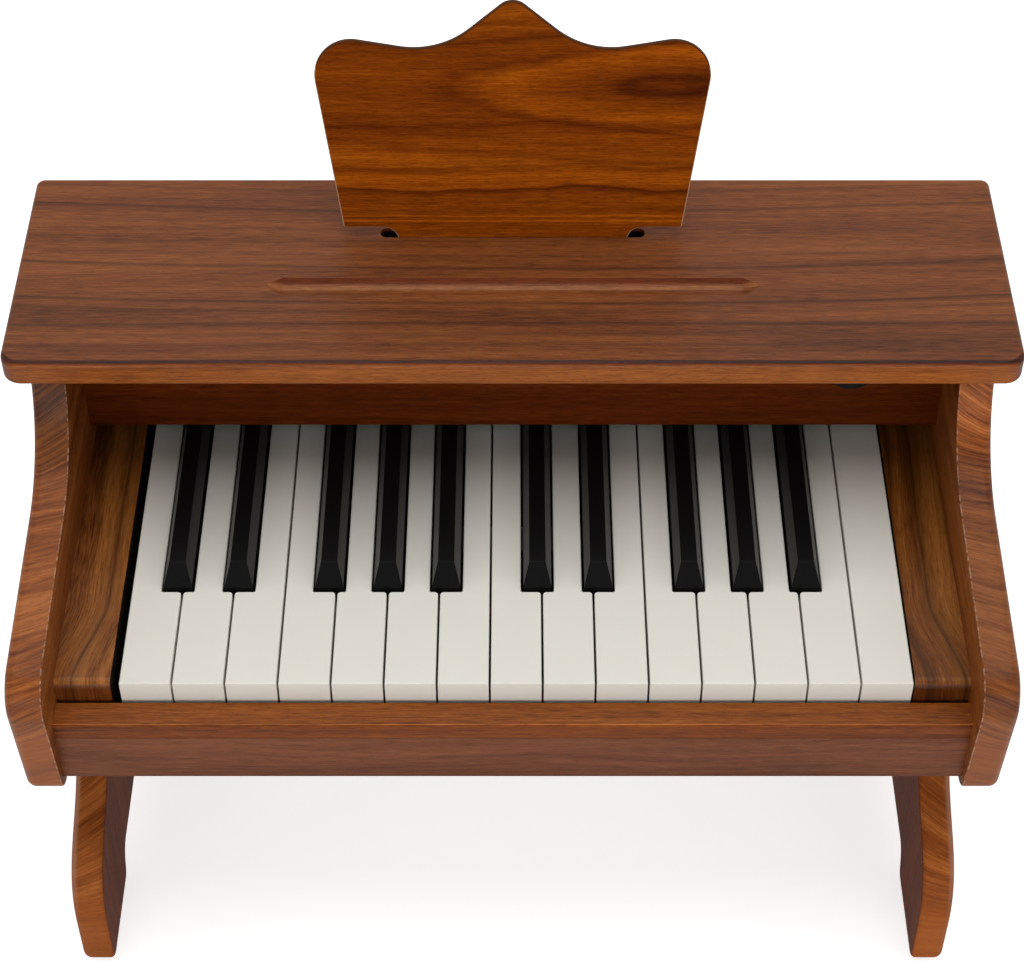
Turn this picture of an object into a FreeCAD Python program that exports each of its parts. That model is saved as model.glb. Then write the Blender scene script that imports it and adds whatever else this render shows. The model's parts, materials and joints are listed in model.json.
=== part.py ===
import FreeCAD, Part
import math
import os

# A walnut table-top toy piano: case, legs, music stand, two-octave keyboard with its action, electronics.
# Millimetres. X runs to the player's right, Y to the back and Z up.
# The origin is on the floor, under the middle of the whole piano.

V = FreeCAD.Vector
os.makedirs("parts", exist_ok=True)

# Cuts run past the faces that they open by this much.
overrun = 2.0
# Pieces that only rest on or face each other stay this far apart.
rest_gap = 0.2
# Glued and pressed pins have this much room round them.
pin_clearance = 0.05
# Places closer than this count as one.
same_place = 0.002

# Keyboard
white_count = 15
notes = ["c", "d", "e", "f", "g", "a", "b"]
# Place of each black key, as a share of the pitch from the gap that it stands over.
black_offset_shares = {"c": -0.089, "d": 0.098, "f": -0.138, "g": 0.0, "a": 0.136}
key_pitch = 21.4
key_gap = 0.9
key_showing = 135.0
key_level = 51.0
key_body_height = 14.0
key_wall = 1.8
key_roof = 2.2
key_edge_radius = 0.5
key_head_radius = 1.5
key_notch_radius = 0.8
white_head_length = 48.8
black_width = 11.7
black_top_width = 6.6
black_clearance = 1.0
black_rise = 10.0
black_skirt = 2.0
black_slope = 7.0
left_key_gap = 3.75
right_key_gap = 0.75
key_front_gap = 1.7
key_front_showing = 10.5
key_dip_degrees = 2.6

# Key pivot
key_back_gap = 2.0
pivot_drop = 8.0
pivot_rod_radius = 1.5
pivot_rod_end = 0.3
key_bore_clearance = 0.05
key_tail = 13.0
pivot_post_width = 4.0
pivot_post_length = 7.0
pivot_post_cap = 3.0

# Case boards
panel_thickness = 15.0
key_block_width = 22.7
key_block_radius = 3.5
case_height = 120.0
bottom_thickness = 9.0
front_board_rise = 7.2
slip_thickness = 7.7
slip_depth = 12.0
slip_radius = 1.5
slip_seam_radius = 0.6
nameboard_thickness = 9.0
nameboard_setback = 33.9
nameboard_clearance = 2.0
back_thickness = 6.0
panel_edge_radius = 4.0
panel_arris_radius = 0.8

# Side panel outline
throat_setback = 6.4
throat_lean = 5.8
throat_fill_share = 0.96
arm_rear_height = 84.1
arm_front_height = 71.3
nose_reach = 11.1
nose_radius = 17.0
panel_foot_setback = 7.8
panel_foot_radius = 9.0

# Top board with its groove and the slot of the music stand
top_depth = 118.9
top_thickness = 12.0
top_side_overhang = 10.0
back_overhang = 10.0
top_front_corner_radius = 8.0
top_back_corner_radius = 3.8
top_edge_radius = 2.5
top_under_radius = 1.5
groove_setback = 47.3
groove_length = 207.0
groove_width = 10.6
groove_depth = 3.0
groove_taper = 6.5
slot_setback = 80.7
slot_length = 114.0
slot_clearance = 0.5
slot_ease = 2.0

# Music stand, measured on its own leaning plate
stand_lean_degrees = 15.0
stand_thickness = 3.0
stand_height = 107.3
stand_half_width = 85.1
stand_shoulder_width = 72.4
stand_shoulder_rise = 4.0
stand_shoulder_radius = 1.0
stand_tenon_half_width = 49.0
stand_tenon_depth = 9.5
stand_flare_radius = 6.5
stand_tip_radius = 7.9
stand_dip_radius = 36.4
stand_lobe_radius = 15.5
stand_edge_bevel = 0.4
# Places on the crown, as shares of the plate's half width and height.
stand_dip_share = 0.361
stand_dip_height_share = 0.769
stand_lobe_height_share = 0.853

# Legs
leg_height = 112.0
leg_thickness = 14.0
leg_inset = 9.5
leg_edge_radius = 4.0
leg_arris_radius = 2.0
toe_reach = 13.6
heel_setback = 6.0
leg_waist_length = 112.6
foot_radius = 5.0
foot_length = 46.5
arch_height = 13.0
arch_run = 6.0
arch_foot_radius = 5.0
arch_radius = 7.0
# Heights of the four control points of the leg's curve, as shares of the leg's height.
leg_curve_shares = [0.232, 0.753, 0.426, 0.982]

# Key frame, a folded channel section, with its felts and contact board
frame_wall = 2.5
felt_thickness = 3.0
white_rail_length = 16.0
black_rail_length = 11.0
rail_setback = 3.0
contact_setback = 36.0
contact_rail_length = 28.0
contact_rail_rise = 17.0
contact_board_thickness = 1.6
contact_board_overhang = 1.0
dome_base_thickness = 1.0
dome_base_length = 14.0
dome_base_radius = 4.5
dome_top_radius = 3.0
plunger_length = 6.0
pivot_rail_lead = 8.0
rest_felt_length = 6.0
guide_width = 4.0
guide_length = 6.0
guide_engagement = 3.0

# Sound board on the key frame's pillars
main_board_width = 80.0
main_board_length = 30.0
main_board_offset = 60.0
main_board_inset = 4.0
pillar_height = 6.0
pillar_radius = 3.5
chip_width = 16.0
chip_height = 3.0
capacitor_radius = 4.0
capacitor_height = 9.0

# Volume control behind the nameboard and its knob
knob_inset = 41.6
knob_drop = 15.2
knob_radius = 10.0
knob_length = 10.5
knob_gap = 0.6
knob_edge_radius = 1.2
knob_flutes = 12
knob_flute_radius = 1.4
knob_recess_radius = 7.2
knob_recess_depth = 3.4
knob_pointer_width = 1.2
knob_pointer_depth = 0.6
control_radius = 8.0
control_depth = 8.0
control_lug_width = 9.0
control_lug_drop = 4.0
control_lug_thickness = 1.2
bushing_radius = 3.5
bushing_length = 2.6
shaft_radius = 3.0
shaft_grip = 6.0
nut_width = 10.0
nut_thickness = 2.0

# Speaker on the back panel
# How much of the height that the speaker leaves free over the keys is above it.
speaker_head_share = 13 / 43
speaker_radius = 28.5
speaker_flange_width = 4.0
speaker_flange_thickness = 2.0
basket_depth = 17.0
basket_wall = 1.2
basket_neck_radius = 14.5
basket_windows = 4
basket_window_width = 14.0
cone_wall = 0.6
cone_clearance = 6.0
cone_rim_setback = 1.2
cone_neck_radius = 7.0
dust_cap_rise = 3.0
magnet_margin = 1.3
magnet_thickness = 9.0
sound_slots = 7
sound_slot_width = 3.2
sound_slot_pitch = 6.4
sound_field_radius = 23.0

# Battery box in the back panel
battery_inset = 80.0
battery_drop = 38.5
cell_length = 50.5
cell_diameter = 14.5
cell_count = 3
cell_room = 0.8
contact_room = 9.5
box_wall = 2.0
box_depth = 15.5
box_flange = 4.0
box_flange_thickness = 2.0
cutout_clearance = 0.3
door_thickness = 2.5
door_clearance = 0.4
door_pin_radius = 1.1
door_pin_length = 1.2
door_rib_depth = 1.0
door_rib_width = 1.5
door_rib_shares = (0.25, 0.75)
door_lug_width = 9.0
door_lug_height = 7.0
door_lug_length = 6.0
contact_thickness = 0.5
contact_width = 10.0
spring_base_radius = 4.0
spring_tip_radius = 2.2
spring_length = 5.0

# Screws and dowels
small_screw_radius = 1.5
small_screw_length = 8.0
small_head_radius = 2.8
small_head_height = 1.8
door_screw_room = 0.8
door_head_height = 1.35
panel_screw_length = 16.0
panel_head_radius = 3.4
panel_head_height = 2.0
leg_screw_radius = 2.0
leg_screw_length = 34.0
leg_head_radius = 4.0
leg_head_height = 2.4
dowel_radius = 3.0
dowel_length = 24.0
dowel_end_room = 0.5
head_dowel_drop = 4.0
# Places of the dowels and screws, as shares of the run that they hold.
head_dowel_shares = (0.25, 0.75)
floor_dowel_shares = (0.16, 0.84)
panel_screw_shares = (0.12, 0.5, 0.88)
leg_screw_shares = (-0.35, 0, 0.35)
frame_screw_share = 0.46

# Widths and places worked out from the sizes above
white_width = key_pitch - key_gap
key_set_width = white_count * key_pitch - key_gap
bay_width = left_key_gap + key_set_width + right_key_gap
inner_half = bay_width / 2 + key_block_width
outer_half = inner_half + panel_thickness
top_half = outer_half + top_side_overhang
key_set_left = left_key_gap - bay_width / 2
key_set_right = key_set_left + key_set_width

overall_depth = top_depth - nameboard_setback + key_showing + key_front_gap + slip_depth + toe_reach
top_back = overall_depth / 2
top_front = top_back - top_depth
case_back = top_back - back_overhang
panel_back = case_back - back_thickness
nameboard_face = top_front + nameboard_setback
nameboard_back = nameboard_face + nameboard_thickness
key_front = nameboard_face - key_showing
slip_back = key_front - key_front_gap
slip_front = slip_back - slip_depth
white_notch = key_front + white_head_length
black_front = white_notch + black_clearance
box_front = case_back - door_thickness - box_depth - box_wall
key_back = box_front - key_back_gap
pivot_y = key_back - key_tail
dome_y = nameboard_face - contact_setback
stand_y = top_front + slot_setback

case_bottom = leg_height
top_under = case_bottom + case_height
top_level = top_under + top_thickness
floor_level = case_bottom + bottom_thickness
white_top = case_bottom + key_level
key_bottom = white_top - key_body_height
black_top = white_top + black_rise
slip_top = white_top - key_front_showing
pivot_z = white_top - pivot_drop
knob_x = inner_half - knob_inset
battery_x = battery_inset - inner_half
knob_z = top_under - knob_drop
magnet_radius = basket_neck_radius + basket_wall + magnet_margin
speaker_play = top_under - white_top - black_skirt - speaker_radius - magnet_radius
speaker_z = top_under - speaker_radius - speaker_head_share * speaker_play
dip = math.tan(math.radians(key_dip_degrees))
slot_half_width = black_width / 2 + black_clearance


def block(x_span, y_span, z_span):
    """A box between a low and a high place along each axis."""
    corner = V(x_span[0], y_span[0], z_span[0])
    return Part.makeBox(x_span[1] - x_span[0], y_span[1] - y_span[0], z_span[1] - z_span[0], corner)


def rod(radius, start, end):
    """A round bar from one point to another."""
    way = end - start
    return Part.makeCylinder(radius, way.Length, start, way)


def join(shapes):
    """One solid from touching or overlapping shapes, without the seams between them."""
    return shapes[0].multiFuse(shapes[1:]).removeSplitter()


def rounded_wire(corners, radii):
    """A closed outline that turns each corner with a tangent arc, or sharply where the radius is zero."""
    starts = []
    middles = []
    ends = []
    for i, here in enumerate(corners):
        back = (corners[i - 1] - here).normalize()
        ahead = (corners[(i + 1) % len(corners)] - here).normalize()
        half = back.getAngle(ahead) / 2
        run = radii[i] / math.tan(half)
        inward = (back + ahead).normalize()
        starts.append(here + back * run)
        middles.append(here + inward * (radii[i] / math.sin(half) - radii[i]))
        ends.append(here + ahead * run)
    edges = []
    for i, radius in enumerate(radii):
        if radius:
            edges.append(Part.Arc(starts[i], middles[i], ends[i]).toShape())
        edges.append(Part.LineSegment(ends[i], starts[(i + 1) % len(corners)]).toShape())
    return Part.Wire(edges)


def edges_where(shape, test):
    """The edges of a shape whose end points all pass a test."""
    return [edge for edge in shape.Edges if all(test(vertex.Point) for vertex in edge.Vertexes)]


def is_level(edge, axis, place):
    """Whether all of an edge's ends lie at one place along an axis."""
    return all(near(getattr(vertex.Point, axis), place) for vertex in edge.Vertexes)


def near(a, b):
    """Whether two places are the same."""
    return abs(a - b) < same_place


def pan_screw(head, way, length, head_radius, head_height):
    """A pan-head screw: a low round head on a plain shank that runs along the way from its seat."""
    seat = V(head)
    top = Part.makeCone(head_radius, head_radius - head_height / 2, head_height, seat, way * -1)
    return join([top, Part.makeCylinder(small_screw_radius, length, seat, way)])


def screw_hole(head, way, length):
    """The bore for a small screw's shank, from just outside its seat to past its tip."""
    start = head - way * overrun
    return Part.makeCylinder(small_screw_radius + pin_clearance, length + overrun + rest_gap, start, way)


# Case

def panel_outline(x):
    """The side panel's outline at one X: concave throat under the top, long arm, round nose."""
    throat = V(x, top_front + throat_setback, top_under)
    arm_rear = V(x, throat.y - throat_lean, case_bottom + arm_rear_height)
    nose = V(x, slip_front - nose_reach, case_bottom + arm_front_height)
    foot = V(x, nose.y + panel_foot_setback, case_bottom)
    rear_foot = V(x, panel_back, case_bottom)
    rear_head = V(x, panel_back, top_under)
    turn = (throat - arm_rear).getAngle(nose - arm_rear) / 2
    throat_radius = throat_fill_share * (throat - arm_rear).Length * math.tan(turn)
    corners = [rear_foot, rear_head, throat, arm_rear, nose, foot]
    return rounded_wire(corners, [0, 0, 0, throat_radius, nose_radius, panel_foot_radius])


def side_panel(side):
    """A side panel on the left (-1) or right (1), rounded outside and slightly so on its inner arris."""
    board = Part.Face(panel_outline(side * inner_half)).extrude(V(side * panel_thickness, 0, 0))
    for x, radius in ((side * outer_half, panel_edge_radius), (side * inner_half, panel_arris_radius)):
        rim = edges_where(board, lambda p: near(p.x, x))
        kept = [e for e in rim if not (is_level(e, "z", top_under) or is_level(e, "y", panel_back))]
        if near(x, side * inner_half):
            kept = [e for e in kept if not is_level(e, "z", case_bottom)]
        board = board.makeFillet(radius, kept)
    return drilled(board)


def dowels():
    """The glued dowels that hold the boards: each entry is a middle point and a direction."""
    places = []
    for side in (-1, 1):
        seam = side * inner_half
        head_x = side * (inner_half + panel_thickness / 2)
        head_run = panel_back - top_front - throat_setback
        for share in head_dowel_shares:
            y = panel_back - share * head_run
            places.append((V(head_x, y, top_under - head_dowel_drop), V(0, 0, 1)))
        floor_middle = case_bottom + bottom_thickness / 2
        for share in floor_dowel_shares:
            y = slip_back + share * (panel_back - slip_back)
            places.append((V(seam, y, floor_middle), V(1, 0, 0)))
        board_middle = (case_bottom + front_board_rise + slip_top - slip_thickness) / 2
        places.append((V(seam, slip_back - slip_depth / 2, board_middle), V(1, 0, 0)))
        name_middle = (black_top + nameboard_clearance + top_under) / 2
        places.append((V(seam, nameboard_face + nameboard_thickness / 2, name_middle), V(1, 0, 0)))
    return places


def dowel_bar(middle, way, radius, length):
    """A round bar of some length about a middle point."""
    return Part.makeCylinder(radius, length, middle - way * (length / 2), way)


def panel_screw_places():
    """Seats of the screws that hold the back panel to the side panels and the bottom board."""
    seats = []
    for side in (-1, 1):
        edge_x = side * (inner_half + panel_thickness / 2)
        for share in panel_screw_shares:
            seats.append(V(edge_x, case_back, case_bottom + share * case_height))
        seats.append(V(side * inner_half / 2, case_back, case_bottom + bottom_thickness / 2))
    return seats


def leg_screw_places():
    """Seats of the countersunk screws that come down through the bottom board into the legs."""
    middle_x = (outer_half - leg_inset - leg_thickness + inner_half) / 2
    waist_middle = (heel_y() + toe_y()) / 2
    seats = []
    for side in (-1, 1):
        for share in leg_screw_shares:
            seats.append(V(side * middle_x, waist_middle + share * leg_waist_length, floor_level))
    return seats


def leg_screw(seat):
    """A countersunk screw, head flush with the top of the bottom board."""
    head = Part.makeCone(leg_head_radius, leg_screw_radius, leg_head_height, seat, V(0, 0, -1))
    return join([head, Part.makeCylinder(leg_screw_radius, leg_screw_length, seat, V(0, 0, -1))])


def leg_screw_hole(seat):
    """The countersunk bore of a leg screw, with room all round."""
    mouth = leg_head_radius + pin_clearance
    neck = leg_screw_radius + pin_clearance
    sink = Part.makeCone(mouth, neck, leg_head_height, seat, V(0, 0, -1))
    bore = Part.makeCylinder(neck, leg_screw_length + rest_gap, seat, V(0, 0, -1))
    return join([sink, bore])


def drilled(board):
    """A board with the bores of the dowels and screws that reach it."""
    bores = []
    for middle, way in dowels():
        bores.append(dowel_bar(middle, way, dowel_radius + pin_clearance, dowel_length + dowel_end_room))
    for seat in panel_screw_places():
        bores.append(screw_hole(seat, V(0, -1, 0), panel_screw_length))
    for seat in leg_screw_places():
        bores.append(leg_screw_hole(seat))
    for seat, way in frame_screw_places():
        bores.append(screw_hole(seat, way, small_screw_length))
    reached = [bore for bore in bores if board.BoundBox.intersect(bore.BoundBox)]
    return board.cut(reached) if reached else board


def front_board():
    """The board below the key slip."""
    z_span = (case_bottom + front_board_rise, slip_top - slip_thickness)
    board = block((-inner_half, inner_half), (slip_front, slip_back), z_span)
    seam = edges_where(board, lambda p: near(p.y, slip_front) and near(p.z, z_span[1]))
    return drilled(board.makeFillet(slip_seam_radius, seam))


def key_slip():
    """The strip in front of the keys, with a rounded front edge and a soft seam to the board below."""
    z_span = (slip_top - slip_thickness, slip_top)
    strip = block((-inner_half, inner_half), (slip_front, slip_back), z_span)
    for z, radius in ((slip_top, slip_radius), (z_span[0], slip_seam_radius)):
        edge = edges_where(strip, lambda p: near(p.y, slip_front) and near(p.z, z))
        strip = strip.makeFillet(radius, edge)
    return strip


def key_block(side):
    """The cheek block between a side panel and the keys, level with the key tops."""
    x_span = sorted((side * inner_half, side * bay_width / 2))
    cheek = block(x_span, (key_front, key_back), (floor_level, white_top))
    edge = edges_where(cheek, lambda p: near(p.y, key_front) and near(p.z, white_top))
    return drilled(cheek.makeFillet(key_block_radius, edge))


def nameboard():
    """The board above the keys, with the hole for the volume control's bushing."""
    z_span = (black_top + nameboard_clearance, top_under)
    board = block((-inner_half, inner_half), (nameboard_face, nameboard_back), z_span)
    hole_front = control_axis(nameboard_face - overrun)
    hole = rod(bushing_radius + rest_gap, hole_front, control_axis(nameboard_back + overrun))
    return drilled(board.cut(hole))


def bottom_board():
    """The floor of the case, between the panels."""
    z_span = (case_bottom, floor_level)
    return drilled(block((-inner_half, inner_half), (slip_back, panel_back), z_span))


def back_panel():
    """The thin back, with sound slots over the speaker and the battery box's cut-out."""
    board = block((-outer_half, outer_half), (panel_back, case_back), (case_bottom, top_under))
    x_span, z_span = battery_room(box_wall + cutout_clearance)
    cuts = [block(x_span, (panel_back - overrun, case_back + overrun), z_span)]
    for row in range(sound_slots):
        offset = (row - (sound_slots - 1) / 2) * sound_slot_pitch
        reach = math.sqrt(sound_field_radius ** 2 - offset ** 2) - sound_slot_width / 2
        z = speaker_z + offset
        half = sound_slot_width / 2
        y_span = (panel_back - overrun, case_back + overrun)
        cuts.append(block((-reach, reach), y_span, (z - half, z + half)))
        for x in (-reach, reach):
            cuts.append(rod(half, V(x, y_span[0], z), V(x, y_span[1], z)))
    return drilled(board.cut(cuts))


def top_board():
    """The top, with rounded corners and edges, a long groove and the music stand's slot."""
    board = block((-top_half, top_half), (top_front, top_back), (top_under, top_level))
    for y, radius in ((top_front, top_front_corner_radius), (top_back, top_back_corner_radius)):
        upright = [e for e in board.Edges if near(e.BoundBox.ZLength, top_thickness)]
        board = board.makeFillet(radius, [e for e in upright if near(e.CenterOfMass.y, y)])
    board = board.makeFillet(top_edge_radius, edges_where(board, lambda p: near(p.z, top_level)))
    board = board.makeFillet(top_under_radius, edges_where(board, lambda p: near(p.z, top_under)))
    return drilled(board.cut(groove()).cut(stand_slot()))


def groove():
    """The round-bottomed groove's tool path: a bar with tapered ends that rise to the top's surface."""
    radius = (groove_width ** 2 / 4 + groove_depth ** 2) / (2 * groove_depth)
    y = top_front + groove_setback
    z = top_level + radius - groove_depth
    half = groove_length / 2 - groove_taper
    pieces = [rod(radius, V(-half, y, z), V(half, y, z))]
    for side in (-1, 1):
        end = V(side * half, y, z)
        pieces.append(Part.makeCone(radius, radius - groove_depth, groove_taper, end, V(side, 0, 0)))
    return join(pieces)


# Music stand

def leaned(shape):
    """A shape drawn upright about the stand's foot, leaned back and set on the top board."""
    shape.rotate(V(0, 0, 0), V(1, 0, 0), -stand_lean_degrees)
    shape.translate(V(0, stand_y, top_level))
    return shape


def stand_slot():
    """The leaning slot that the stand's tenon drops into, eased at the back, with round ends."""
    half_width = (stand_thickness + slot_ease) / 2 + slot_clearance
    middle = slot_ease / 2
    reach = slot_length / 2 - half_width
    depth = stand_tenon_depth + rest_gap
    room = block((-reach, reach), (middle - half_width, middle + half_width), (-depth, overrun))
    ends = [rod(half_width, V(x, middle, -depth), V(x, middle, overrun)) for x in (-reach, reach)]
    return leaned(join([room] + ends))


def music_stand():
    """The leaning plate: pointed crown with two side lobes, tapering to shoulders and a tenon."""
    lobe_height = stand_lobe_height_share * stand_height
    half = [
        (stand_tenon_half_width, -stand_tenon_depth, 0),
        (stand_tenon_half_width, stand_shoulder_rise, stand_flare_radius),
        (stand_shoulder_width, stand_shoulder_rise, stand_shoulder_radius),
        (stand_half_width, lobe_height, stand_lobe_radius),
        (stand_dip_share * stand_half_width, stand_dip_height_share * stand_height, stand_dip_radius),
    ]
    tip = [(0, stand_height, stand_tip_radius)]
    mirrored = [(-x, z, radius) for x, z, radius in reversed(half)]
    outline = half + tip + mirrored
    corners = [V(x, -stand_thickness / 2, z) for x, z, radius in outline]
    wire = rounded_wire(corners, [radius for x, z, radius in outline])
    plate = Part.Face(wire).extrude(V(0, stand_thickness, 0))
    crown = [e for e in plate.Edges if near(e.BoundBox.YLength, 0) and e.BoundBox.ZMax > same_place]
    return leaned(plate.makeChamfer(stand_edge_bevel, crown))


# Legs

def toe_y():
    """The front of the feet."""
    return slip_front - toe_reach


def heel_y():
    """The back of the feet."""
    return case_back - heel_setback


def leg(side):
    """A leg board on the left (-1) or right (1): two feet with an arch, curving up to a waist."""
    inner = side * (outer_half - leg_inset - leg_thickness)
    toe = toe_y()
    heel = heel_y()
    waist_front = (toe + heel - leg_waist_length) / 2
    waist_back = waist_front + leg_waist_length
    arch_front = toe + foot_length
    arch_back = heel - foot_length
    low, first, second, high = [share * leg_height for share in leg_curve_shares]
    sole = [
        (heel, low, 0), (heel, 0, foot_radius), (arch_back, 0, arch_foot_radius),
        (arch_back - arch_run, arch_height, arch_radius),
        (arch_front + arch_run, arch_height, arch_radius),
        (arch_front, 0, arch_foot_radius), (toe, 0, foot_radius), (toe, low, 0),
    ]
    head = [
        (waist_front, high, 0), (waist_front, leg_height, 0),
        (waist_back, leg_height, 0), (waist_back, high, 0),
    ]
    outline = sole + head
    wire = rounded_wire([V(inner, y, z) for y, z, radius in outline], [radius for y, z, radius in outline])
    straight = [edge for edge in wire.Edges if not is_slant(edge, low, high)]
    curves = []
    for foot_end, waist in ((toe, waist_front), (heel, waist_back)):
        curve = Part.BezierCurve()
        poles = [(foot_end, low), (foot_end, first), (waist, second), (waist, high)]
        curve.setPoles([V(inner, y, z) for y, z in poles])
        curves.append(curve.toShape())
    outside = Part.Wire(Part.__sortEdges__(straight + curves))
    board = Part.Face(outside).extrude(V(side * leg_thickness, 0, 0))
    for x, radius in ((inner + side * leg_thickness, leg_edge_radius), (inner, leg_arris_radius)):
        rim = edges_where(board, lambda p: near(p.x, x))
        kept = [e for e in rim if not (near(e.CenterOfMass.z, leg_height) and near(e.BoundBox.ZLength, 0))]
        board = board.makeFillet(radius, kept)
    return drilled(board)


def is_slant(edge, low, high):
    """Whether an edge of the leg's outline is the slanted chord that a curve replaces."""
    heights = sorted(vertex.Z for vertex in edge.Vertexes)
    return near(heights[0], low) and near(heights[1], high)


# Keys

def has_black_after(index):
    """Whether a black key stands between a white key and the next one."""
    return 0 <= index < white_count - 1 and notes[index % len(notes)] in black_offset_shares


def key_left(index):
    """The left side of a white key's head."""
    return key_set_left + index * key_pitch


def black_middle(index):
    """The middle of the black key after a white key."""
    share = black_offset_shares[notes[index % len(notes)]]
    return key_left(index + 1) - key_gap / 2 + share * key_pitch


def shank(index):
    """The left and right sides of a white key's narrow part, beside its black keys."""
    left = key_left(index)
    right = left + white_width
    if has_black_after(index - 1):
        left = black_middle(index - 1) + slot_half_width
    if has_black_after(index):
        right = black_middle(index) - slot_half_width
    return left, right


def hollow(x_span, y_span, roof):
    """The moulded pocket under a key, in two lengths that leave the rib over the contact dome."""
    lead = (x_span[0] + key_wall, x_span[1] - key_wall)
    z_span = (key_bottom - overrun, roof)
    front = (y_span[0] + key_wall, dome_y - plunger_length / 2)
    rear = (dome_y + plunger_length / 2, y_span[1] - key_wall)
    return [block(lead, front, z_span), block(lead, rear, z_span)]


def pivot_bore(x_span):
    """The key's running bore on the pivot rod."""
    start = V(x_span[0] - overrun, pivot_y, pivot_z)
    end = V(x_span[1] + overrun, pivot_y, pivot_z)
    return rod(pivot_rod_radius + key_bore_clearance, start, end)


def white_key(index):
    """A white key: a wide head, a shank cut back beside the black keys, hollow below, bored at the rear."""
    left = key_left(index)
    right = left + white_width
    shank_left, shank_right = shank(index)
    outline = [(left, key_front, 0), (right, key_front, 0)]
    if has_black_after(index):
        outline += [(right, white_notch, key_head_radius), (shank_right, white_notch, key_notch_radius)]
    outline += [(shank_right, key_back, 0), (shank_left, key_back, 0)]
    if has_black_after(index - 1):
        outline += [(shank_left, white_notch, key_notch_radius), (left, white_notch, key_head_radius)]
    corners = [V(x, y, key_bottom) for x, y, radius in outline]
    wire = rounded_wire(corners, [radius for x, y, radius in outline])
    body = Part.Face(wire).extrude(V(0, 0, key_body_height))
    body = body.makeFillet(key_edge_radius, edges_where(body, lambda p: near(p.z, white_top)))
    roof = white_top - key_roof
    head = block((left + key_wall, right - key_wall), (key_front + key_wall, white_notch - key_wall),
                 (key_bottom - overrun, roof))
    cuts = [head, pivot_bore((shank_left, shank_right))]
    cuts += hollow((shank_left, shank_right), (key_front, key_back), roof)
    return body.cut(cuts)


def black_key(index):
    """A black key: a straight skirt with a tapered crown that slopes at the front, hollow below."""
    middle = black_middle(index)
    x_span = (middle - black_width / 2, middle + black_width / 2)
    skirt_top = white_top + black_skirt
    crown_back = nameboard_back + black_slope
    skirt = block(x_span, (black_front, key_back), (key_bottom, skirt_top))
    half_top = black_top_width / 2
    base = [V(x_span[0], black_front, skirt_top), V(x_span[1], black_front, skirt_top),
            V(x_span[1], crown_back, skirt_top), V(x_span[0], crown_back, skirt_top)]
    slope_top = black_front + black_slope
    top = [V(middle - half_top, slope_top, black_top), V(middle + half_top, slope_top, black_top),
           V(middle + half_top, crown_back, black_top), V(middle - half_top, crown_back, black_top)]
    wires = [Part.makePolygon(ring + ring[:1]) for ring in (base, top)]
    crown = Part.makeLoft(wires, True, True)
    body = join([skirt, crown])
    soft = edges_where(body, lambda p: p.z > skirt_top - same_place and p.y < slope_top + same_place)
    soft += edges_where(body, lambda p: near(p.z, black_top) and p.x < middle)
    soft += edges_where(body, lambda p: near(p.z, black_top) and p.x > middle)
    soft = [e for e in soft if not near(e.BoundBox.ZMax, skirt_top)]
    body = body.makeFillet(key_edge_radius, soft)
    cuts = [pivot_bore(x_span)] + hollow(x_span, (black_front, key_back), white_top - key_roof)
    return body.cut(cuts)


# Key action under the keys

def pressed_level(y):
    """How high a pressed key's underside is at some depth."""
    return key_bottom - (pivot_y - y) * dip - rest_gap


def white_felt_top():
    """The felt that stops the white keys, just under their pressed fronts."""
    return pressed_level(key_front + rail_setback)


def black_felt_top():
    """The felt that stops the black keys."""
    return pressed_level(black_front + rail_setback)


def rest_felt_top():
    """The felt under the key tails."""
    return key_bottom - rest_gap


def contact_level():
    """The top of the rail that carries the contact board."""
    return floor_level + contact_rail_rise


def rails():
    """The folded rails of the key frame: front, back and top of each."""
    white = key_front + rail_setback
    black = black_front + rail_setback
    contact = dome_y - contact_rail_length / 2
    pivot = pivot_y - pivot_rail_lead
    return [
        (white, white + white_rail_length, white_felt_top() - felt_thickness),
        (black, black + black_rail_length, black_felt_top() - felt_thickness),
        (contact, contact + contact_rail_length, contact_level()),
        (pivot, key_back, rest_felt_top() - felt_thickness),
    ]


def key_middles():
    """The middle of every key's shank, white then black."""
    whites = [sum(shank(i)) / 2 for i in range(white_count)]
    blacks = [black_middle(i) for i in range(white_count) if has_black_after(i)]
    return whites, blacks


def main_board_corners():
    """The corners of the sound board's four fixing holes."""
    y_middle = (rails()[2][1] + rails()[3][0]) / 2
    half_x = main_board_width / 2 - main_board_inset
    half_y = main_board_length / 2 - main_board_inset
    corners = []
    for x in (main_board_offset - half_x, main_board_offset + half_x):
        corners += [V(x, y_middle - half_y, 0), V(x, y_middle + half_y, 0)]
    return corners


def main_board_bottom():
    """The level of the sound board on its pillars."""
    return floor_level + frame_wall + pillar_height


def frame_screw_places():
    """Seats of the small screws: frame to floor, contact board to rail, sound board to pillars."""
    bars = rails()
    down = V(0, 0, -1)
    seats = []
    reach = frame_screw_share * key_set_width
    for x in (-reach, 0, reach):
        seats.append((V(x, (bars[0][1] + bars[1][0]) / 2, floor_level + frame_wall), down))
    for x in (-reach, reach):
        seats.append((V(x, (bars[2][1] + bars[3][0]) / 2, floor_level + frame_wall), down))
    board_top = contact_level() + contact_board_thickness
    for x in (-reach, reach):
        seats.append((V(x, bars[2][0] + main_board_inset, board_top), down))
    for corner in main_board_corners():
        seats.append((V(corner.x, corner.y, main_board_bottom() + contact_board_thickness), down))
    return seats


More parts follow.
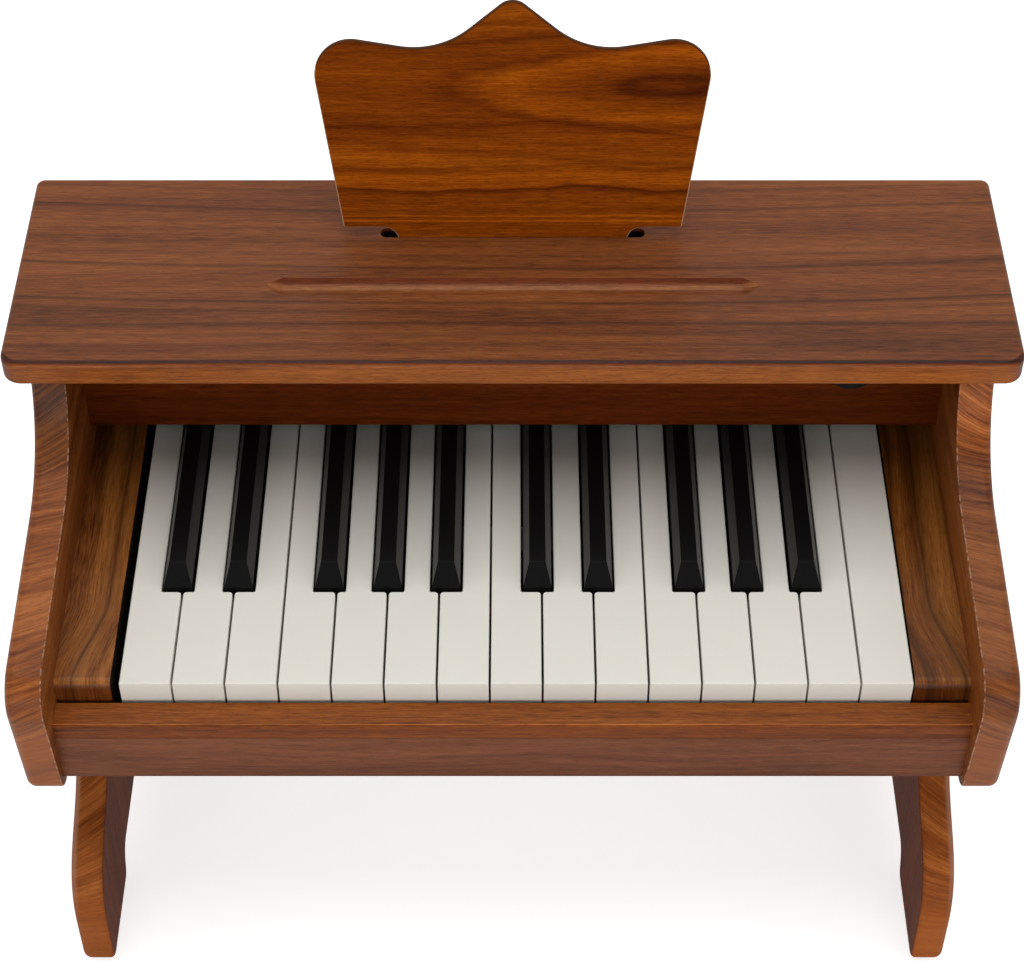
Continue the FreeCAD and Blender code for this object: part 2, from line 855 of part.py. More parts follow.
def key_frame():
    """The moulded frame: one folded section with four rails, pivot posts, key guides and board pillars."""
    upper = [(key_front, floor_level + frame_wall)]
    lower = [(key_front, floor_level)]
    for front, back, top in rails():
        upper += [(front, floor_level + frame_wall), (front, top), (back, top)]
        lower += [(front + frame_wall, floor_level), (front + frame_wall, top - frame_wall)]
        lower += [(back - frame_wall, top - frame_wall), (back - frame_wall, floor_level)]
        if back < key_back:
            upper.append((back, floor_level + frame_wall))
    upper.append((key_back, floor_level))
    outline = upper + lower[::-1]
    corners = [V(key_set_left, y, z) for y, z in outline]
    frame = Part.Face(Part.makePolygon(corners + corners[:1])).extrude(V(key_set_width, 0, 0))
    extras = []
    whites, blacks = key_middles()
    rail_top = rails()[3][2]
    for x in whites:
        half = pivot_post_width / 2
        y_span = (pivot_y - pivot_post_length / 2, pivot_y + pivot_post_length / 2)
        extras.append(block((x - half, x + half), y_span, (rail_top, pivot_z + pivot_post_cap)))
    for x in whites:
        extras.append(guide(x, rails()[0]))
    for x in blacks:
        extras.append(guide(x, rails()[1]))
    for corner in main_board_corners():
        foot = V(corner.x, corner.y, floor_level + frame_wall)
        extras.append(Part.makeCylinder(pillar_radius, pillar_height, foot))
    frame = join([frame] + extras)
    return drilled(frame.cut(rod(pivot_rod_radius + pin_clearance, *rod_ends())))


def guide(x, rail):
    """A blade on a rail that keeps a key in line from inside its pocket, low enough for a pressed key."""
    front, back, top = rail
    half = guide_width / 2
    y_span = (back - guide_length, back)
    return block((x - half, x + half), y_span, (top, key_bottom + guide_engagement))


def rod_ends():
    """The two ends of the pivot rod."""
    left = V(key_set_left - pivot_rod_end, pivot_y, pivot_z)
    return left, V(key_set_right + pivot_rod_end, pivot_y, pivot_z)


def felt_strip(front, length, top):
    """A felt strip along all the keys."""
    return block((key_set_left, key_set_right), (front, front + length), (top - felt_thickness, top))


def down_felts():
    """The two felt strips that stop the pressed white and black keys, in front of their guides."""
    white, black = rails()[0], rails()[1]
    strips = []
    for rail, top in ((white, white_felt_top()), (black, black_felt_top())):
        strips.append(felt_strip(rail[0], rail[1] - rail[0] - guide_length, top))
    return Part.makeCompound(strips)


def rest_felt():
    """The felt strip under the key tails, behind the pivot posts."""
    return felt_strip(key_back - rest_felt_length, rest_felt_length, rest_felt_top())


def contact_board():
    """The printed board under the domes."""
    front = dome_y - contact_rail_length / 2 - contact_board_overhang
    back = dome_y + contact_rail_length / 2 + contact_board_overhang
    z_span = (contact_level(), contact_level() + contact_board_thickness)
    return drilled(block((key_set_left, key_set_right), (front, back), z_span))


def dome_strip():
    """The silicone strip with a contact dome under every key."""
    sheet_bottom = contact_level() + contact_board_thickness
    half = dome_base_length / 2
    z_span = (sheet_bottom, sheet_bottom + dome_base_thickness)
    pieces = [block((key_set_left, key_set_right), (dome_y - half, dome_y + half), z_span)]
    height = key_bottom - rest_gap - sheet_bottom
    whites, blacks = key_middles()
    for x in whites + blacks:
        pieces.append(Part.makeCone(dome_base_radius, dome_top_radius, height, V(x, dome_y, sheet_bottom)))
    return join(pieces)


def main_board():
    """The sound board, with its chip and a capacitor."""
    corners = main_board_corners()
    middle_y = (corners[0].y + corners[1].y) / 2
    half_x = main_board_width / 2
    half_y = main_board_length / 2
    z = main_board_bottom()
    x_span = (main_board_offset - half_x, main_board_offset + half_x)
    board = block(x_span, (middle_y - half_y, middle_y + half_y), (z, z + contact_board_thickness))
    top = z + contact_board_thickness
    chip_half = chip_width / 2
    chip = block((main_board_offset - chip_half, main_board_offset + chip_half),
                 (middle_y - chip_half, middle_y + chip_half), (top, top + chip_height))
    can_foot = V(main_board_offset + chip_width, middle_y, top)
    can = Part.makeCylinder(capacitor_radius, capacitor_height, can_foot)
    return drilled(join([board, chip, can]))


# Volume control

def control_axis(y):
    """A point on the volume control's axis."""
    return V(knob_x, y, knob_z)


def volume_control():
    """The control's can behind the nameboard, its bushing through the board and its solder lugs."""
    front = nameboard_face - bushing_length
    can = rod(control_radius, control_axis(nameboard_back), control_axis(nameboard_back + control_depth))
    bushing = rod(bushing_radius, control_axis(front), control_axis(nameboard_back))
    lug_half = control_lug_width / 2
    lug_front = nameboard_back + control_depth / 2
    lugs = block((knob_x - lug_half, knob_x + lug_half), (lug_front, lug_front + control_lug_thickness),
                 (knob_z - control_radius - control_lug_drop, knob_z))
    bore_end = control_axis(shaft_back() + rest_gap)
    bore = rod(shaft_radius + pin_clearance, control_axis(front - overrun), bore_end)
    return join([can, bushing, lugs]).cut(bore)


def shaft_back():
    """The inner end of the control's shaft."""
    return nameboard_back + control_depth / 2


def knob_back():
    """The knob's rim next to the nameboard."""
    return nameboard_face - knob_gap


def shaft_front():
    """The shaft's end inside the knob."""
    return knob_back() - knob_recess_depth - shaft_grip


def volume_shaft():
    """The shaft that the knob turns."""
    return rod(shaft_radius, control_axis(shaft_front()), control_axis(shaft_back()))


def volume_nut():
    """The hexagon nut that clamps the control to the nameboard."""
    radius = nut_width / math.sqrt(3)
    turns = [math.radians(60 * i) for i in range(6)]
    middle = control_axis(nameboard_face)
    corners = [middle + V(radius * math.cos(t), 0, radius * math.sin(t)) for t in turns]
    hexagon = Part.Face(Part.makePolygon(corners + corners[:1])).extrude(V(0, -nut_thickness, 0))
    hole = rod(bushing_radius + pin_clearance, control_axis(nameboard_face + overrun),
               control_axis(nameboard_face - nut_thickness - overrun))
    return hexagon.cut(hole)


def volume_knob():
    """The fluted knob, hollow behind for the nut, with a pointer line across its face."""
    back = knob_back()
    front = back - knob_length
    body = rod(knob_radius, control_axis(back), control_axis(front))
    body = body.makeFillet(knob_edge_radius, [e for e in body.Edges if near(e.BoundBox.YMin, front)
                                              and near(e.BoundBox.YLength, 0)])
    cuts = [rod(knob_recess_radius, control_axis(back + overrun), control_axis(back - knob_recess_depth)),
            rod(shaft_radius + pin_clearance, control_axis(back), control_axis(shaft_front() - rest_gap))]
    for i in range(knob_flutes):
        turn = 2 * math.pi * (i + 0.5) / knob_flutes
        reach = knob_radius + knob_flute_radius / 2
        x = knob_x + reach * math.cos(turn)
        z = knob_z + reach * math.sin(turn)
        cuts.append(rod(knob_flute_radius, V(x, back + overrun, z), V(x, front - overrun, z)))
    half = knob_pointer_width / 2
    cuts.append(block((knob_x - half, knob_x + half), (front - overrun, front + knob_pointer_depth),
                      (knob_z, knob_z + knob_radius + overrun)))
    return body.cut(cuts)


# Speaker

def revolved(profile):
    """A ring shape turned about the speaker's axis, from (radius, depth behind the back panel) points."""
    corners = [V(radius, panel_back - depth, speaker_z) for radius, depth in profile]
    face = Part.Face(Part.makePolygon(corners + corners[:1]))
    return face.revolve(V(0, 0, speaker_z), V(0, 1, 0), 360)


def speaker_basket():
    """The pressed basket: a flange on the back panel and a windowed cone down to the magnet."""
    rim = speaker_radius - speaker_flange_width
    profile = [
        (rim, 0), (speaker_radius, 0), (speaker_radius, speaker_flange_thickness),
        (rim + basket_wall, speaker_flange_thickness), (basket_neck_radius + basket_wall, basket_depth),
        (basket_neck_radius + basket_wall, basket_depth + basket_wall),
        (cone_neck_radius, basket_depth + basket_wall), (cone_neck_radius, basket_depth),
        (basket_neck_radius, basket_depth), (rim, speaker_flange_thickness),
    ]
    basket = revolved(profile)
    cuts = []
    for i in range(basket_windows):
        half = basket_window_width / 2
        window_back = panel_back - speaker_flange_thickness - basket_wall
        y_span = (panel_back - basket_depth + basket_wall, window_back)
        window = block((0, speaker_radius + overrun), y_span, (speaker_z - half, speaker_z + half))
        window.rotate(V(0, 0, speaker_z), V(0, 1, 0), 360 * (i + 0.5) / basket_windows)
        cuts.append(window)
    return basket.cut(cuts)


def speaker_cone():
    """The paper cone with its dust cap, glued inside the basket's rim."""
    rim = speaker_radius - speaker_flange_width - rest_gap
    neck = cone_neck_radius
    cone_depth = basket_depth - cone_clearance
    return revolved([
        (0, cone_depth - dust_cap_rise), (neck, cone_depth - cone_wall),
        (rim - cone_wall, cone_rim_setback), (rim, cone_rim_setback), (rim, cone_rim_setback + cone_wall),
        (neck, cone_depth), (neck, basket_depth - rest_gap),
        (neck - cone_wall, basket_depth - rest_gap), (neck - cone_wall, cone_depth),
        (0, cone_depth - dust_cap_rise + cone_wall),
    ])


def speaker_magnet():
    """The ring magnet and its plate behind the basket."""
    start = basket_depth + basket_wall
    return revolved([(0, start), (magnet_radius, start), (magnet_radius, start + magnet_thickness),
                     (0, start + magnet_thickness)])


# Battery box

def battery_room(grow):
    """The X and Z spans of the box's room for the cells and the door's screw, grown by some wall."""
    half_x = (cell_length + contact_room) / 2
    half_z = (cell_count * (cell_diameter + cell_room) + door_lug_height) / 2
    middle_z = top_under - battery_drop
    x_span = (battery_x - half_x - grow, battery_x + half_x + grow)
    return x_span, (middle_z - half_z - grow, middle_z + half_z + grow)


def door_inside():
    """The inner face of the closed door."""
    return case_back - door_thickness


def box_floor():
    """The inner floor of the battery box."""
    return box_front + box_wall


def door_axis():
    """The middle of the door's hinge pins: half the door's thickness from its lower edge."""
    low = battery_room(0)[1][0] + door_clearance
    return V(battery_x, case_back - door_thickness / 2, low + door_thickness / 2)


def door_lug_spans():
    """The room of the lug that takes the door's screw, between the cells and the box's upper wall."""
    top = battery_room(0)[1][1]
    x_span = (battery_x - door_lug_width / 2, battery_x + door_lug_width / 2)
    y_back = door_inside() - rest_gap
    return x_span, (y_back - door_lug_length, y_back), (top - door_lug_height, top + box_wall / 2)


def door_screw_seat():
    """Where the door's screw head sits, sunk in the door's outer face."""
    z_span = door_lug_spans()[2]
    z = (z_span[0] + z_span[1] - box_wall / 2) / 2
    return V(battery_x, case_back - door_head_height, z)


def battery_box():
    """The moulded box, flanged inside the back panel, with hinge holes and a lug for the door's screw."""
    x_out, z_out = battery_room(box_wall)
    x_in, z_in = battery_room(0)
    shell = block(x_out, (box_floor() - box_wall, case_back), z_out)
    x_flange, z_flange = battery_room(box_wall + box_flange)
    flange = block(x_flange, (panel_back - box_flange_thickness, panel_back), z_flange)
    room = block(x_in, (box_floor(), case_back + overrun), z_in)
    body = join([shell, flange]).cut(room)
    body = join([body, block(*door_lug_spans())])
    axis = door_axis()
    pins = rod(door_pin_radius + pin_clearance, V(x_in[0] - door_pin_length, axis.y, axis.z),
               V(x_in[1] + door_pin_length, axis.y, axis.z))
    seat = door_screw_seat()
    hole = rod(small_screw_radius + door_screw_room, seat, seat - V(0, small_screw_length + rest_gap, 0))
    return body.cut([pins, hole])


def battery_door():
    """The door: a plate with a half-round hinged edge, two pins and two stiffening ribs."""
    x_in, z_in = battery_room(0)
    x_span = (x_in[0] + door_clearance, x_in[1] - door_clearance)
    axis = door_axis()
    plate = block(x_span, (door_inside(), case_back), (axis.z, z_in[1] - door_clearance))
    edge = rod(door_thickness / 2, V(x_span[0], axis.y, axis.z), V(x_span[1], axis.y, axis.z))
    pins = rod(door_pin_radius, V(x_in[0] - door_pin_length + rest_gap, axis.y, axis.z),
               V(x_in[1] + door_pin_length - rest_gap, axis.y, axis.z))
    rib_top = door_lug_spans()[2][0] - door_clearance
    ribs = []
    for share in door_rib_shares:
        x = x_span[0] + share * (x_span[1] - x_span[0])
        half = door_rib_width / 2
        rib_span = (door_inside() - door_rib_depth, door_inside())
        ribs.append(block((x - half, x + half), rib_span, (axis.z + door_thickness, rib_top)))
    seat = door_screw_seat()
    sink = rod(small_head_radius + pin_clearance, seat, V(seat.x, case_back + overrun, seat.z))
    hole = rod(small_screw_radius + pin_clearance, seat - V(0, door_thickness + overrun, 0), seat)
    return join([plate, edge, pins] + ribs).cut([sink, hole])


def battery_contacts():
    """The plates at both ends of each cell, with a cone spring on one of them."""
    x_in, z_in = battery_room(0)
    middle_y = (box_floor() + door_inside()) / 2
    half = contact_width / 2
    pieces = []
    for cell in range(cell_count):
        z = z_in[0] + (cell + 0.5) * (cell_diameter + cell_room)
        spring_end = 1 if cell % 2 else -1
        for end, wall in ((-1, x_in[0]), (1, x_in[1])):
            face = wall - end * contact_thickness
            plate = block(sorted((wall, face)), (middle_y - half, middle_y + half), (z - half, z + half))
            if end == spring_end:
                spring = Part.makeCone(spring_base_radius, spring_tip_radius, spring_length,
                                       V(face, middle_y, z), V(-end, 0, 0))
                plate = join([plate, spring])
            pieces.append(plate)
    return Part.makeCompound(pieces)


def door_screw():
    """The screw that locks the battery door."""
    seat = door_screw_seat()
    return pan_screw(seat, V(0, -1, 0), small_screw_length, small_head_radius, door_head_height)


# Every piece by its node name

def all_parts():
    """The shapes of all nodes."""
    parts = {
        "top_board": top_board(), "left_panel": side_panel(-1), "right_panel": side_panel(1),
        "front_board": front_board(), "key_slip": key_slip(), "nameboard": nameboard(),
        "back_panel": back_panel(), "bottom_board": bottom_board(),
        "left_key_block": key_block(-1), "right_key_block": key_block(1),
        "left_leg": leg(-1), "right_leg": leg(1), "music_stand": music_stand(),
        "key_frame": key_frame(), "key_pivot_rod": rod(pivot_rod_radius, *rod_ends()),
        "key_down_felts": down_felts(), "key_rest_felt": rest_felt(),
        "contact_board": contact_board(), "dome_strip": dome_strip(), "main_board": main_board(),
        "volume_control": volume_control(), "volume_shaft": volume_shaft(),
        "volume_nut": volume_nut(), "volume_knob": volume_knob(),
        "speaker_basket": speaker_basket(), "speaker_cone": speaker_cone(),
        "speaker_magnet": speaker_magnet(),
        "battery_box": battery_box(), "battery_contacts": battery_contacts(),
        "battery_door": battery_door(), "battery_door_screw": door_screw(),
    }
    black_number = 0
    for i in range(white_count):
        note = notes[i % len(notes)]
        parts[f"white_key_{i + 1:02d}_{note}"] = white_key(i)
        if has_black_after(i):
            black_number += 1
            parts[f"black_key_{black_number:02d}_{note}_sharp"] = black_key(i)
    parts["case_dowels"] = Part.makeCompound([
        dowel_bar(middle, way, dowel_radius, dowel_length) for middle, way in dowels()])
    parts["leg_screws"] = Part.makeCompound([leg_screw(seat) for seat in leg_screw_places()])
    parts["back_panel_screws"] = Part.makeCompound([
        pan_screw(seat, V(0, -1, 0), panel_screw_length, panel_head_radius, panel_head_height)
        for seat in panel_screw_places()])
    parts["frame_screws"] = Part.makeCompound([
        pan_screw(seat, way, small_screw_length, small_head_radius, small_head_height)
        for seat, way in frame_screw_places()])
    return parts


for name, shape in all_parts().items():
    shape.exportStep(f"parts/{name}.step")
    print(name, "solids", len(shape.Solids), "volume", round(shape.Volume), "valid", shape.isValid())
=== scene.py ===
"""Dresses the walnut toy piano: finishes for every board, key and fitting, and its small pieces.

Everything is in metres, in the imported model's frame: X to the player's right, Y to the back, Z up.
"""

import json
import logging
import math
from dataclasses import dataclass
from enum import Enum
from typing import Sequence, Union

import bmesh
import bpy
from mathutils import Matrix, Vector

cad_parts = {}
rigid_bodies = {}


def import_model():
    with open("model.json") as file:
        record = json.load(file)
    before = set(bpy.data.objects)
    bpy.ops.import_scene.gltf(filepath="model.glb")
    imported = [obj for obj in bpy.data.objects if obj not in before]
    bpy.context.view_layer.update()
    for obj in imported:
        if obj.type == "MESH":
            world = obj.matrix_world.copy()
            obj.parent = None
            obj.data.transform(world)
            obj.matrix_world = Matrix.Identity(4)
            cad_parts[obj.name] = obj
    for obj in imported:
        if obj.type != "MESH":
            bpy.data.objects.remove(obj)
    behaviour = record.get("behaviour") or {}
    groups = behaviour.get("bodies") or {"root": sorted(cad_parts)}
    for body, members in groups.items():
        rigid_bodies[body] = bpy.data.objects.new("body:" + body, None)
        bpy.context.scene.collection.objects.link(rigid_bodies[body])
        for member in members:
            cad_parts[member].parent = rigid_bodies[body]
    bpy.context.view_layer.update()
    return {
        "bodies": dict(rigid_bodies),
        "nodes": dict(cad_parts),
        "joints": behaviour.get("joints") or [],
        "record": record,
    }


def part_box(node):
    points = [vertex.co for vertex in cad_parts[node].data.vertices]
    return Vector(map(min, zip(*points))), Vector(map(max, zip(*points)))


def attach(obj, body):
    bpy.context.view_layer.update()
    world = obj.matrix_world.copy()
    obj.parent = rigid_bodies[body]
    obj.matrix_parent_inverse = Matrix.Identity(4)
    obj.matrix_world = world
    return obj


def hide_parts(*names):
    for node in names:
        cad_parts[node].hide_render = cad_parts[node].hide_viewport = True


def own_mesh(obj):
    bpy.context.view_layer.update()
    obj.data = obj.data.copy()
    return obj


LOG = logging.getLogger("toy_piano")

Colour = tuple[float, float, float]
Socket = bpy.types.NodeSocket
Level = Union[Socket, float]
# A place along and across a film's grain, and the colour and height that a film has there.
Film = tuple[Socket, Socket]
Look = tuple[Socket, Socket]
# A range of levels or sizes, and the stops of a tone: each one's place from 0 to 1, and its colour.
Span = tuple[float, float]
Stops = tuple[tuple[float, Colour], ...]


# The top's single dark lines, each a share of its depth from the front, and a strength.
TOP_MARKS = ((0.015, 0.85), (0.098, 0.35), (0.150, 0.45), (0.203, 0.85), (0.258, 0.45),
             (0.304, 0.85), (0.494, 0.80), (0.56, 0.40), (0.809, 0.80), (0.92, 0.40))
# How far those lines wander, as a share of its depth, and how their ends bow back, to the square metre.
MARK_SWAY = 0.03
MARK_BOW = 1.1
# The shares of its depth between which that bow begins.
MARK_BEND: Span = (0.2, 0.3)
# A line's soft front side, middle and crisp back side: its place as a share of the depth, and its strength.
MARK_SIDES = ((-0.018, 0.0), (0.0, 1.0), (0.009, 0.0))
# The part of the row of lines that is left plain before the front edge, and how much a break fades a line.
MARK_LEAD = 0.1
MARK_FADE = 0.25
# The height in metres that the rows below are shares of.
EDGE_TOP = 0.244
# How the grain crosses the edges of panels and legs: at each height, how it leans inwards,
# how strong its figure is and how light the wood is, a lightness that also paints in the light and shade on
# that part.
LEFT_PANEL_ROWS = ((0.47, 0.30, 0.45, 1.35), (0.60, 0.30, 0.45, 1.35), (0.68, 0.70, 1.20, 1.15),
                   (0.74, 0.40, 1.10, 1.20), (0.79, 0.12, 1.10, 1.15), (0.815, 0.50, 1.30, 0.78),
                   (0.87, 0.80, 1.60, 0.46), (0.96, 0.90, 1.50, 0.60))
RIGHT_PANEL_ROWS = ((0.47, 0.30, 0.45, 1.15), (0.60, 0.30, 0.45, 1.15), (0.68, 0.70, 1.20, 0.98),
                    (0.74, 0.40, 1.10, 0.86), (0.79, 0.12, 1.10, 0.84), (0.83, 0.25, 1.20, 1.30),
                    (0.89, 0.80, 1.50, 1.80), (0.96, 0.90, 1.50, 1.65))
LEFT_LEG_ROWS = ((0.0, 0.05, 0.25, 1.40), (0.13, 0.10, 0.30, 1.40), (0.20, 0.30, 0.80, 1.25),
                 (0.30, 0.80, 1.10, 1.25), (0.45, 0.85, 1.10, 1.30))
RIGHT_LEG_ROWS = ((0.0, 0.05, 0.25, 1.60), (0.13, 0.10, 0.30, 1.60), (0.20, 0.30, 0.80, 1.50),
                  (0.30, 0.80, 1.10, 1.50), (0.45, 0.85, 1.10, 1.55))
# How much the grain that crosses an edge climbs for each metre to the back.
EDGE_CLIMB = 0.5


class Grain(Enum):
    """How a film lies on a board: the ways along and across its grain, over the faces that it wraps."""

    ALONG_KEYS = ((1.0, 0.0, 0.0), (0.0, 1.0, 1.0))
    FRONT_TO_BACK = ((0.0, 1.0, 0.0), (1.0, 0.0, 1.0))
    OVER_FRONT = ((0.0, 1.0, 1.0), (1.0, 0.0, 0.0))
    UPRIGHT = ((0.0, 0.0, 1.0), (1.0, 1.0, 0.0))


class Nodes:
    """A node tree, with short ways to add and join nodes."""

    def __init__(self, tree: bpy.types.NodeTree) -> None:
        """Takes up a tree.

        Args:
            tree: The tree to add to.
        """
        self.tree = tree

    def add(self, kind: str, **settings: object) -> bpy.types.Node:
        """Adds a node and sets its properties.

        Args:
            kind: The node's type name, without the ShaderNode prefix.
            settings: Properties of the node.

        Returns:
            The new node.
        """
        node = self.tree.nodes.new("ShaderNode" + kind)
        for name, value in settings.items():
            setattr(node, name, value)
        return node

    def feed(self, socket: Socket, value: object) -> None:
        """Links a socket to another, or sets its value.

        Args:
            socket: The input socket.
            value: An output socket, a number or a sequence of numbers.
        """
        if isinstance(value, bpy.types.NodeSocket):
            self.tree.links.new(value, socket)
        else:
            socket.default_value = value

    def place(self) -> Socket:
        """Gives each point's place in the model's frame, which moves with its body."""
        return self.add("TexCoord").outputs["Object"]

    def facing(self) -> Socket:
        """Gives the surface's own direction, which moves with its body."""
        return self.add("TexCoord").outputs["Normal"]

    def measured(self, place: Socket, way: Sequence[float]) -> Socket:
        """Measures how far a place lies along a direction.

        Args:
            place: The place.
            way: The direction.

        Returns:
            The distance.
        """
        node = self.add("VectorMath", operation="DOT_PRODUCT")
        self.feed(node.inputs[0], place)
        self.feed(node.inputs[1], way)
        return node.outputs["Value"]

    def axes(self, place: Socket) -> tuple[Socket, Socket, Socket]:
        """Splits a place or direction into its X, Y and Z.

        Args:
            place: The place or direction.

        Returns:
            The three levels.
        """
        node = self.add("SeparateXYZ")
        self.feed(node.inputs[0], place)
        return node.outputs["X"], node.outputs["Y"], node.outputs["Z"]

    def stretched(self, place: Socket, scale: Sequence[float]) -> Socket:
        """Multiplies a place by a number along each axis.

        Args:
            place: The place to stretch.
            scale: The number for each axis.

        Returns:
            The stretched place.
        """
        node = self.add("VectorMath", operation="MULTIPLY")
        self.feed(node.inputs[0], place)
        self.feed(node.inputs[1], scale)
        return node.outputs["Vector"]

    def scaled(self, colour: Socket, amount: Socket) -> Socket:
        """Multiplies a colour by a level.

        Args:
            colour: The colour.
            amount: The level.

        Returns:
            The scaled colour.
        """
        node = self.add("VectorMath", operation="SCALE")
        self.feed(node.inputs[0], colour)
        self.feed(node.inputs["Scale"], amount)
        return node.outputs["Vector"]

    def noise(self, place: Socket, scale: Sequence[float], detail: float = 2.0, rough: float = 0.5) -> Socket:
        """Gives cloudy noise at a place, about 0.5.

        Args:
            place: The place, in metres.
            scale: Clouds to the metre along each axis.
            detail: How many finer layers are added.
            rough: How strong the finer layers are.

        Returns:
            The noise's level.
        """
        node = self.add("TexNoise")
        self.feed(node.inputs["Vector"], self.stretched(place, scale))
        self.feed(node.inputs["Scale"], 1.0)
        self.feed(node.inputs["Detail"], detail)
        self.feed(node.inputs["Roughness"], rough)
        return node.outputs["Fac"]

    def grain_noise(self, film: Film, along: float, across: float, detail: float = 2.0) -> Socket:
        """Gives noise that is drawn out along a film's grain, about 0.5.

        Args:
            film: The place along and across the grain, in metres.
            along: Clouds to the metre along the grain.
            across: Clouds to the metre across the grain.
            detail: How many finer layers are added.

        Returns:
            The noise's level.
        """
        place = self.add("CombineXYZ")
        self.feed(place.inputs["X"], self.sum("MULTIPLY", film[0], along))
        self.feed(place.inputs["Y"], self.sum("MULTIPLY", film[1], across))
        node = self.add("TexNoise", noise_dimensions="2D")
        self.feed(node.inputs["Vector"], place.outputs["Vector"])
        self.feed(node.inputs["Scale"], 1.0)
        self.feed(node.inputs["Detail"], detail)
        self.feed(node.inputs["Roughness"], GRAIN_ROUGHNESS)
        return node.outputs["Fac"]

    def sum(self, operation: str, first: Level, second: Level = 0.0, third: Level = 0.0) -> Socket:
        """Works out one sum of two or three levels.

        Args:
            operation: The sum's name.
            first: The first level.
            second: The second level.
            third: The third level, for sums that take one.

        Returns:
            The result.
        """
        node = self.add("Math", operation=operation)
        for socket, level in zip(node.inputs, (first, second, third)):
            self.feed(socket, level)
        return node.outputs["Value"]

    def weighed(self, layers: Sequence[tuple[Socket, float]]) -> Socket:
        """Adds noises about 0.5 by weight, with 0.5 still in the middle.

        Args:
            layers: Each noise and its weight.

        Returns:
            The total.
        """
        level: Level = MIDDLE - sum(weight for _, weight in layers) / 2.0
        for noise, weight in layers:
            level = self.sum("MULTIPLY_ADD", noise, weight, level)
        return level

    def spread(self, level: Socket, low: float, high: float, out_low: float = 0.0,
               out_high: float = 1.0) -> Socket:
        """Maps a level smoothly from one range to another.

        Args:
            level: The level to map.
            low: The level that gives out_low.
            high: The level that gives out_high.
            out_low: The result at low.
            out_high: The result at high.

        Returns:
            The mapped level.
        """
        node = self.add("MapRange", interpolation_type="SMOOTHSTEP")
        for name, value in zip(("Value", "From Min", "From Max", "To Min", "To Max"),
                               (level, low, high, out_low, out_high)):
            self.feed(node.inputs[name], value)
        return node.outputs["Result"]

    def ramp(self, level: Socket, stops: Sequence[tuple[float, Colour]]) -> Socket:
        """Turns a level into a colour along a row of stops.

        Args:
            level: The level, from 0 to 1.
            stops: Each stop's place and colour.

        Returns:
            The colour.
        """
        node = self.add("ValToRGB")
        elements = node.color_ramp.elements
        while len(elements) < len(stops):
            elements.new(1.0)
        for element, (place, colour) in zip(elements, stops):
            element.position = place
            element.color = (*colour, 1.0)
        self.feed(node.inputs["Fac"], level)
        return node.outputs["Color"]

    def blend(self, amount: Level, first: object, second: object, way: str = "MIX") -> Socket:
        """Blends two colours.

        Args:
            amount: How much of the second shows.
            first: The first colour.
            second: The second colour.
            way: The blend's name.

        Returns:
            The blended colour.
        """
        node = self.add("Mix", data_type="RGBA", blend_type=way)
        self.feed(node.inputs[0], amount)
        for socket, value in ((node.inputs[6], first), (node.inputs[7], second)):
            self.feed(socket, value if isinstance(value, bpy.types.NodeSocket) else (*value, 1.0))
        return node.outputs[2]


class NodeSheet(Nodes):
    """A material's nodes, round one principled surface."""

    def __init__(self, name: str) -> None:
        """Starts a material.

        Args:
            name: The material's name.
        """
        self.material = bpy.data.materials.new(name)
        self.material.use_nodes = True
        super().__init__(self.material.node_tree)
        self.surface = self.tree.nodes["Principled BSDF"]

    def bump(self, height: Socket, depth: float) -> None:
        """Raises the surface's finish by a height.

        Args:
            height: The height's level.
            depth: The depth that a level of 1 stands for, in metres.
        """
        node = self.add("Bump")
        self.feed(node.inputs["Strength"], 1.0)
        self.feed(node.inputs["Distance"], depth)
        self.feed(node.inputs["Height"], height)
        self.feed(self.surface.inputs["Normal"], node.outputs["Normal"])

    def finish(self, **levels: object) -> bpy.types.Material:
        """Sets the surface's sockets by name, with _ for a space.

        Args:
            levels: Each socket's level, colour or source.

        Returns:
            The finished material.
        """
        for name, value in levels.items():
            wanted = name.replace("_", " ")
            socket = next(s for s in self.surface.inputs if s.name.lower() == wanted)
            self.feed(socket, (*value, 1.0) if socket.type == "RGBA" and isinstance(value, tuple) else value)
        return self.material


@dataclass(frozen=True)
class Figure:
    """How each layer of a film's grain shows.

    Attributes:
        sway: How far the grain wanders, in metres.
        bands: How strong the broad bands are.
        streaks: How strong the streaks are.
        fibres: How strong the fine fibres are.
        streak_count: Streaks to the metre across the grain.
        line_count: Long dark lines to the metre across the grain.
        lines: How dark those lines are.
        break_count: Breaks of the lines to the metre along the grain.
    """

    sway: float = 0.005
    bands: float = 0.7
    streaks: float = 0.75
    fibres: float = 0.9
    streak_count: float = 360.0
    line_count: float = 46.0
    lines: float = 0.35
    break_count: float = 9.0


STRAIGHT = Figure()
FINE = Figure(sway=0.004, bands=0.95, streaks=0.50, fibres=0.80, streak_count=380.0, lines=0.10)
CALM = Figure(sway=0.006, bands=0.60, streaks=0.45, fibres=0.70, lines=0.0)
QUIET = Figure(bands=0.7, streaks=0.7, lines=0.15)
WAVY = Figure(sway=0.022, bands=1.1, streaks=0.8, lines=0.30, line_count=60.0)
BOLD = Figure(sway=0.012, bands=1.0, streaks=0.6, fibres=0.8, lines=0.60, line_count=45.0, break_count=3.0)
CROSSED = Figure(sway=0.003, bands=1.0, streaks=0.9, fibres=0.7, streak_count=480.0, line_count=230.0,
                 lines=0.30, break_count=70.0)
# The middle level of every noise, and how strong the finer layers of a film's noise are.
MIDDLE = 0.5
GRAIN_ROUGHNESS = 0.58
# Clouds to the metre along and across the grain, for each layer of a film.
SWAY_CLOUDS: Span = (5.0, 16.0)
BAND_CLOUDS: Span = (2.6, 58.0)
FIBRE_CLOUDS: Span = (85.0, 1500.0)
PORE_CLOUDS: Span = (260.0, 2200.0)
STREAKS_ALONG = 8.0
LINES_ALONG = 1.1
BREAKS_ACROSS = 40.0
